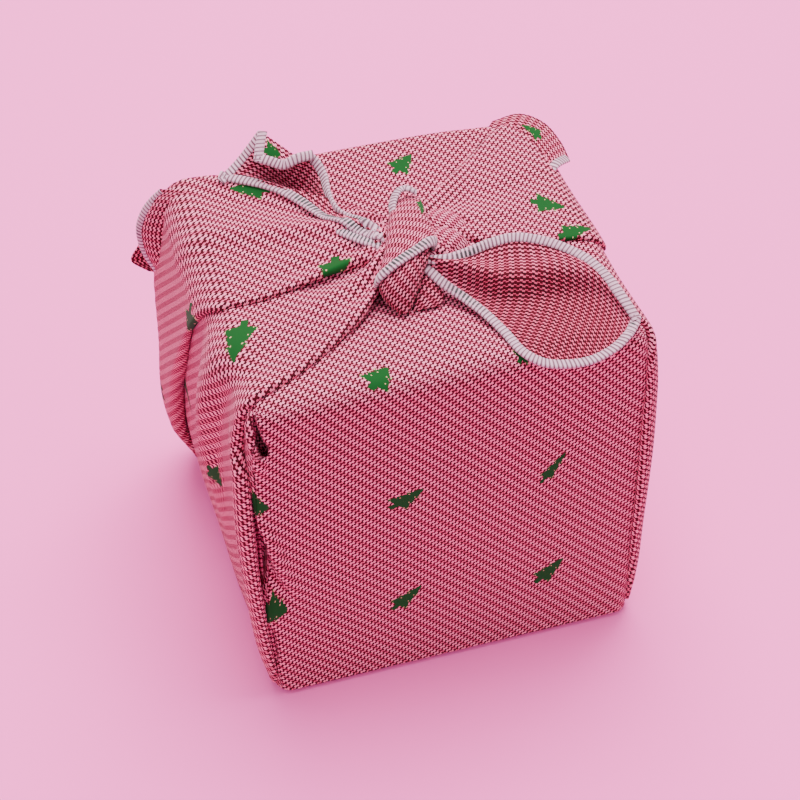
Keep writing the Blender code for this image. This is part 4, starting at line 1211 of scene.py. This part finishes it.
def cloth_material():
    """Matt cotton: rough, hardly glossy, with a faint sheen from its loose fibres."""
    made, tree = new_material("houndstooth cotton with fir trees")
    bump = node(tree, "Bump", {"Height": thread_relief(tree), "Strength": 0.25, "Distance": 0.0001})
    shader = node(tree, "BsdfPrincipled", {
        "Base Color": fir_tree(tree, houndstooth(tree)), "Normal": bump, "Roughness": 0.85,
        "Sheen Weight": 0.04, "Sheen Roughness": 0.5, "Specular IOR Level": 0.08})
    node(tree, "OutputMaterial", shader)
    return made


print("steps of a fir from its base to its tip:", round(TREE_HIGH / THREAD))

# %% The cloth's finish
furoshiki.data.materials.append(cloth_material())
print("cloth:", furoshiki.data.materials[0].name)

# %% [markdown]
# ### Overlock thread
# The hems are sewn with soft white thread. Each strand is light, the gap beside it has painted shadow, and
# along some stretches that painted shadow is near black. All three follow the hem's own UV map, so they
# run round every bend with the stitches.


# %% The hems' finish
def thread_material():
    """White overlock thread: soft and matt, with a strand at each stitch and painted shadow in the gaps."""
    made, tree = new_material("white overlock thread")
    uv = node(tree, "SeparateXYZ", node(tree, "UVMap", uv_map="stitch"))
    along, across = uv.outputs[0], uv.outputs[1]
    # the strands lean a little, so they start later towards the inside
    place = node(tree, "Math", along, 1 / STITCH, node(tree, "Math", across, 0.35, operation="MULTIPLY"),
                 operation="MULTIPLY_ADD")
    off = node(tree, "Math", off_middle(tree, place), operation="ABSOLUTE")
    gap = node(tree, "MapRange", {"Value": off, "From Min": 0.12, "From Max": 0.3,
                                  "To Min": 1.0, "To Max": 0.0})
    noise = node(tree, "TexNoise", {"Vector": node(tree, "CombineXYZ", along, across, 0.0), "Scale": 0.7,
                                    "Detail": 3.0})
    # painted deep shadow: on the stretches that are marked for it, the gaps between the strands are drawn
    # near black
    marked = node(tree, "SeparateXYZ", node(tree, "UVMap", uv_map="deep_gap_shadow")).outputs[0]
    some = node(tree, "MapRange", {"Value": noise, "From Min": 0.34, "From Max": 0.44})
    dark = node(tree, "Math", marked, some, operation="MULTIPLY")
    dark = node(tree, "Math", dark, between(tree, across, 0.25, 0.85), operation="MULTIPLY")
    dark = node(tree, "Math", dark, node(tree, "Math", off, 0.3, operation="LESS_THAN"), operation="MULTIPLY")
    strand = node(tree, "Mix", noise, linear("#B8849C"), linear("#D8AAC0"), data_type="RGBA")
    # painted shadow in the gaps between the strands, and near-black painted shadow on the marked stretches
    colour = node(tree, "Mix", gap, strand, linear("#643248"), data_type="RGBA")
    colour = node(tree, "Mix", dark, colour, linear("#120C10"), data_type="RGBA")
    shader = node(tree, "BsdfPrincipled", {"Base Color": colour, "Roughness": 0.7, "Sheen Weight": 0.3})
    node(tree, "OutputMaterial", shader)
    return made


overlock.data.materials.append(thread_material())
print("hems:", overlock.data.materials[0].name)

# %% [markdown]
# ### Paperboard
# The box inside is plain brown paperboard. It is hidden by the cloth, but it is a real part of the
# object, so it has its finish too: pressed fibres are noise that is stretched one way, with soft clouds
# over it.


# %% The box's finish
def box_material():
    """Brown paperboard: matt, with pressed fibres that run one way and clouds between them."""
    made, tree = new_material("brown paperboard")
    place = node(tree, "TexCoord").outputs["Object"]
    stretched = node(tree, "Mapping", {"Vector": place, "Scale": (900.0, 900.0, 90.0)})
    fibres = node(tree, "TexNoise", {"Vector": stretched, "Scale": 1.0, "Detail": 4.0})
    clouds = node(tree, "TexNoise", {"Vector": place, "Scale": 60.0, "Detail": 3.0})
    mixed = node(tree, "Math", clouds, 0.4, node(tree, "Math", fibres, 0.6, operation="MULTIPLY"),
                 operation="MULTIPLY_ADD")
    shade = node(tree, "MapRange", {"Value": mixed, "From Min": 0.35, "From Max": 0.65})
    colour = node(tree, "Mix", shade, linear("#7A5C3E"), linear("#A68460"), data_type="RGBA")
    bump = node(tree, "Bump", {"Height": fibres, "Strength": 0.3, "Distance": 0.0002})
    shader = node(tree, "BsdfPrincipled", {"Base Color": colour, "Normal": bump, "Roughness": 0.8})
    node(tree, "OutputMaterial", shader)
    return made


box_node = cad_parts["box"]
box_node.data.materials.clear()
box_node.data.materials.append(box_material())
print("box:", box_node.data.materials[0].name)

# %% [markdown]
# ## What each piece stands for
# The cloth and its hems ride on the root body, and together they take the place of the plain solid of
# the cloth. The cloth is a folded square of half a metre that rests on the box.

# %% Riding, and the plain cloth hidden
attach(furoshiki, "root")
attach(overlock, "root")
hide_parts("cloth")
print("sheet of 0.5 m by 0.5 m, hems:", len(hems))

# %% [markdown]
# ## Floor and light
# A small object for a shop is lit softly. One large light over it and a weaker one from the left leave
# pale shadows, and a bright surrounding keeps them open. Large lights are softer than strong ones. The
# floor is one wide sheet of pale pink paper.


# %% Floor
FLOOR_HALF, FLOOR_Z = 3.0, -0.0002      # in metres; just below the foot, so that the two don't flicker
floor_mesh = bpy.data.meshes.new("floor")
bm = bmesh.new()
bmesh.ops.create_grid(bm, x_segments=1, y_segments=1, size=FLOOR_HALF,
                      matrix=Matrix.Translation((0, 0, FLOOR_Z)), calc_uvs=False)
bm.to_mesh(floor_mesh)
bm.free()
floor = bpy.data.objects.new("floor", floor_mesh)
bpy.context.scene.collection.objects.link(floor)
paper, tree = new_material("pale pink paper")
shader = node(tree, "BsdfPrincipled", {"Base Color": linear("#FF68C0"), "Roughness": 0.9})
node(tree, "OutputMaterial", shader)
floor.data.materials.append(paper)
print("floor:", paper.name, "faces", len(floor_mesh.polygons))

# %% Light
world = bpy.data.worlds.new("studio")
bpy.context.scene.world = world
world.use_nodes = True
background = world.node_tree.nodes["Background"]
background.inputs["Color"].default_value = (1.0, 0.97, 0.98, 1)
background.inputs["Strength"].default_value = 1.05
AIM = (0, 0, 0.06)              # the middle of the wrap


def softbox(name, place, size, power):
    """A square light of some metres and watts that faces the wrap."""
    light = bpy.data.lights.new(name, "AREA")
    light.shape, light.size, light.energy = "SQUARE", size, power
    made = bpy.data.objects.new(name, light)
    made.location = place
    made.rotation_euler = (Vector(AIM) - Vector(place)).to_track_quat("-Z", "Y").to_euler()
    bpy.context.scene.collection.objects.link(made)


softbox("key", (0.2, 0.4, 1.5), 1.2, 66)
softbox("fill", (-1.1, -1.2, 0.9), 1.4, 9)

# %% [markdown]
# ## Camera
# The camera looks down at the front from a little to the left. It is placed by its direction, its
# distance and the point it looks at. A tilt round its own axis levels the view.

# %% Camera
AZIMUTH, ELEVATION, ROLL = -16.623, 42.826, -0.591
TARGET, DISTANCE = Vector((-0.00108, 0.00144, 0.0612)), 0.66864
FOCAL_PIXELS, WIDE_PIXELS, SENSOR = 2081.255, 800, 36.0
a, e = math.radians(AZIMUTH), math.radians(ELEVATION)
back = Vector((math.sin(a) * math.cos(e), -math.cos(a) * math.cos(e), math.sin(e)))
right = Vector((0, 0, 1)).cross(back).normalized()
up = back.cross(right)
r = math.radians(ROLL)
right, up = math.cos(r) * right + math.sin(r) * up, -math.sin(r) * right + math.cos(r) * up
camera_data = bpy.data.cameras.new("camera")
camera = bpy.data.objects.new("camera", camera_data)
bpy.context.scene.collection.objects.link(camera)
place = [TARGET[k] + back[k] * DISTANCE for k in range(3)]
camera.matrix_world = Matrix([(right[k], up[k], back[k], place[k]) for k in range(3)] + [(0, 0, 0, 1)])
camera_data.sensor_width = SENSOR
camera_data.lens = FOCAL_PIXELS / WIDE_PIXELS * SENSOR
camera_data.clip_start, camera_data.clip_end = 0.05, 20.0
bpy.context.scene.camera = camera
print("camera at", [round(v, 3) for v in camera.matrix_world.translation])

# %% Triangles
graph = bpy.context.evaluated_depsgraph_get()
for piece in (furoshiki, overlock):
    shown = piece.evaluated_get(graph).to_mesh()
    print(piece.name, "triangles", sum(len(p.vertices) - 2 for p in shown.polygons))
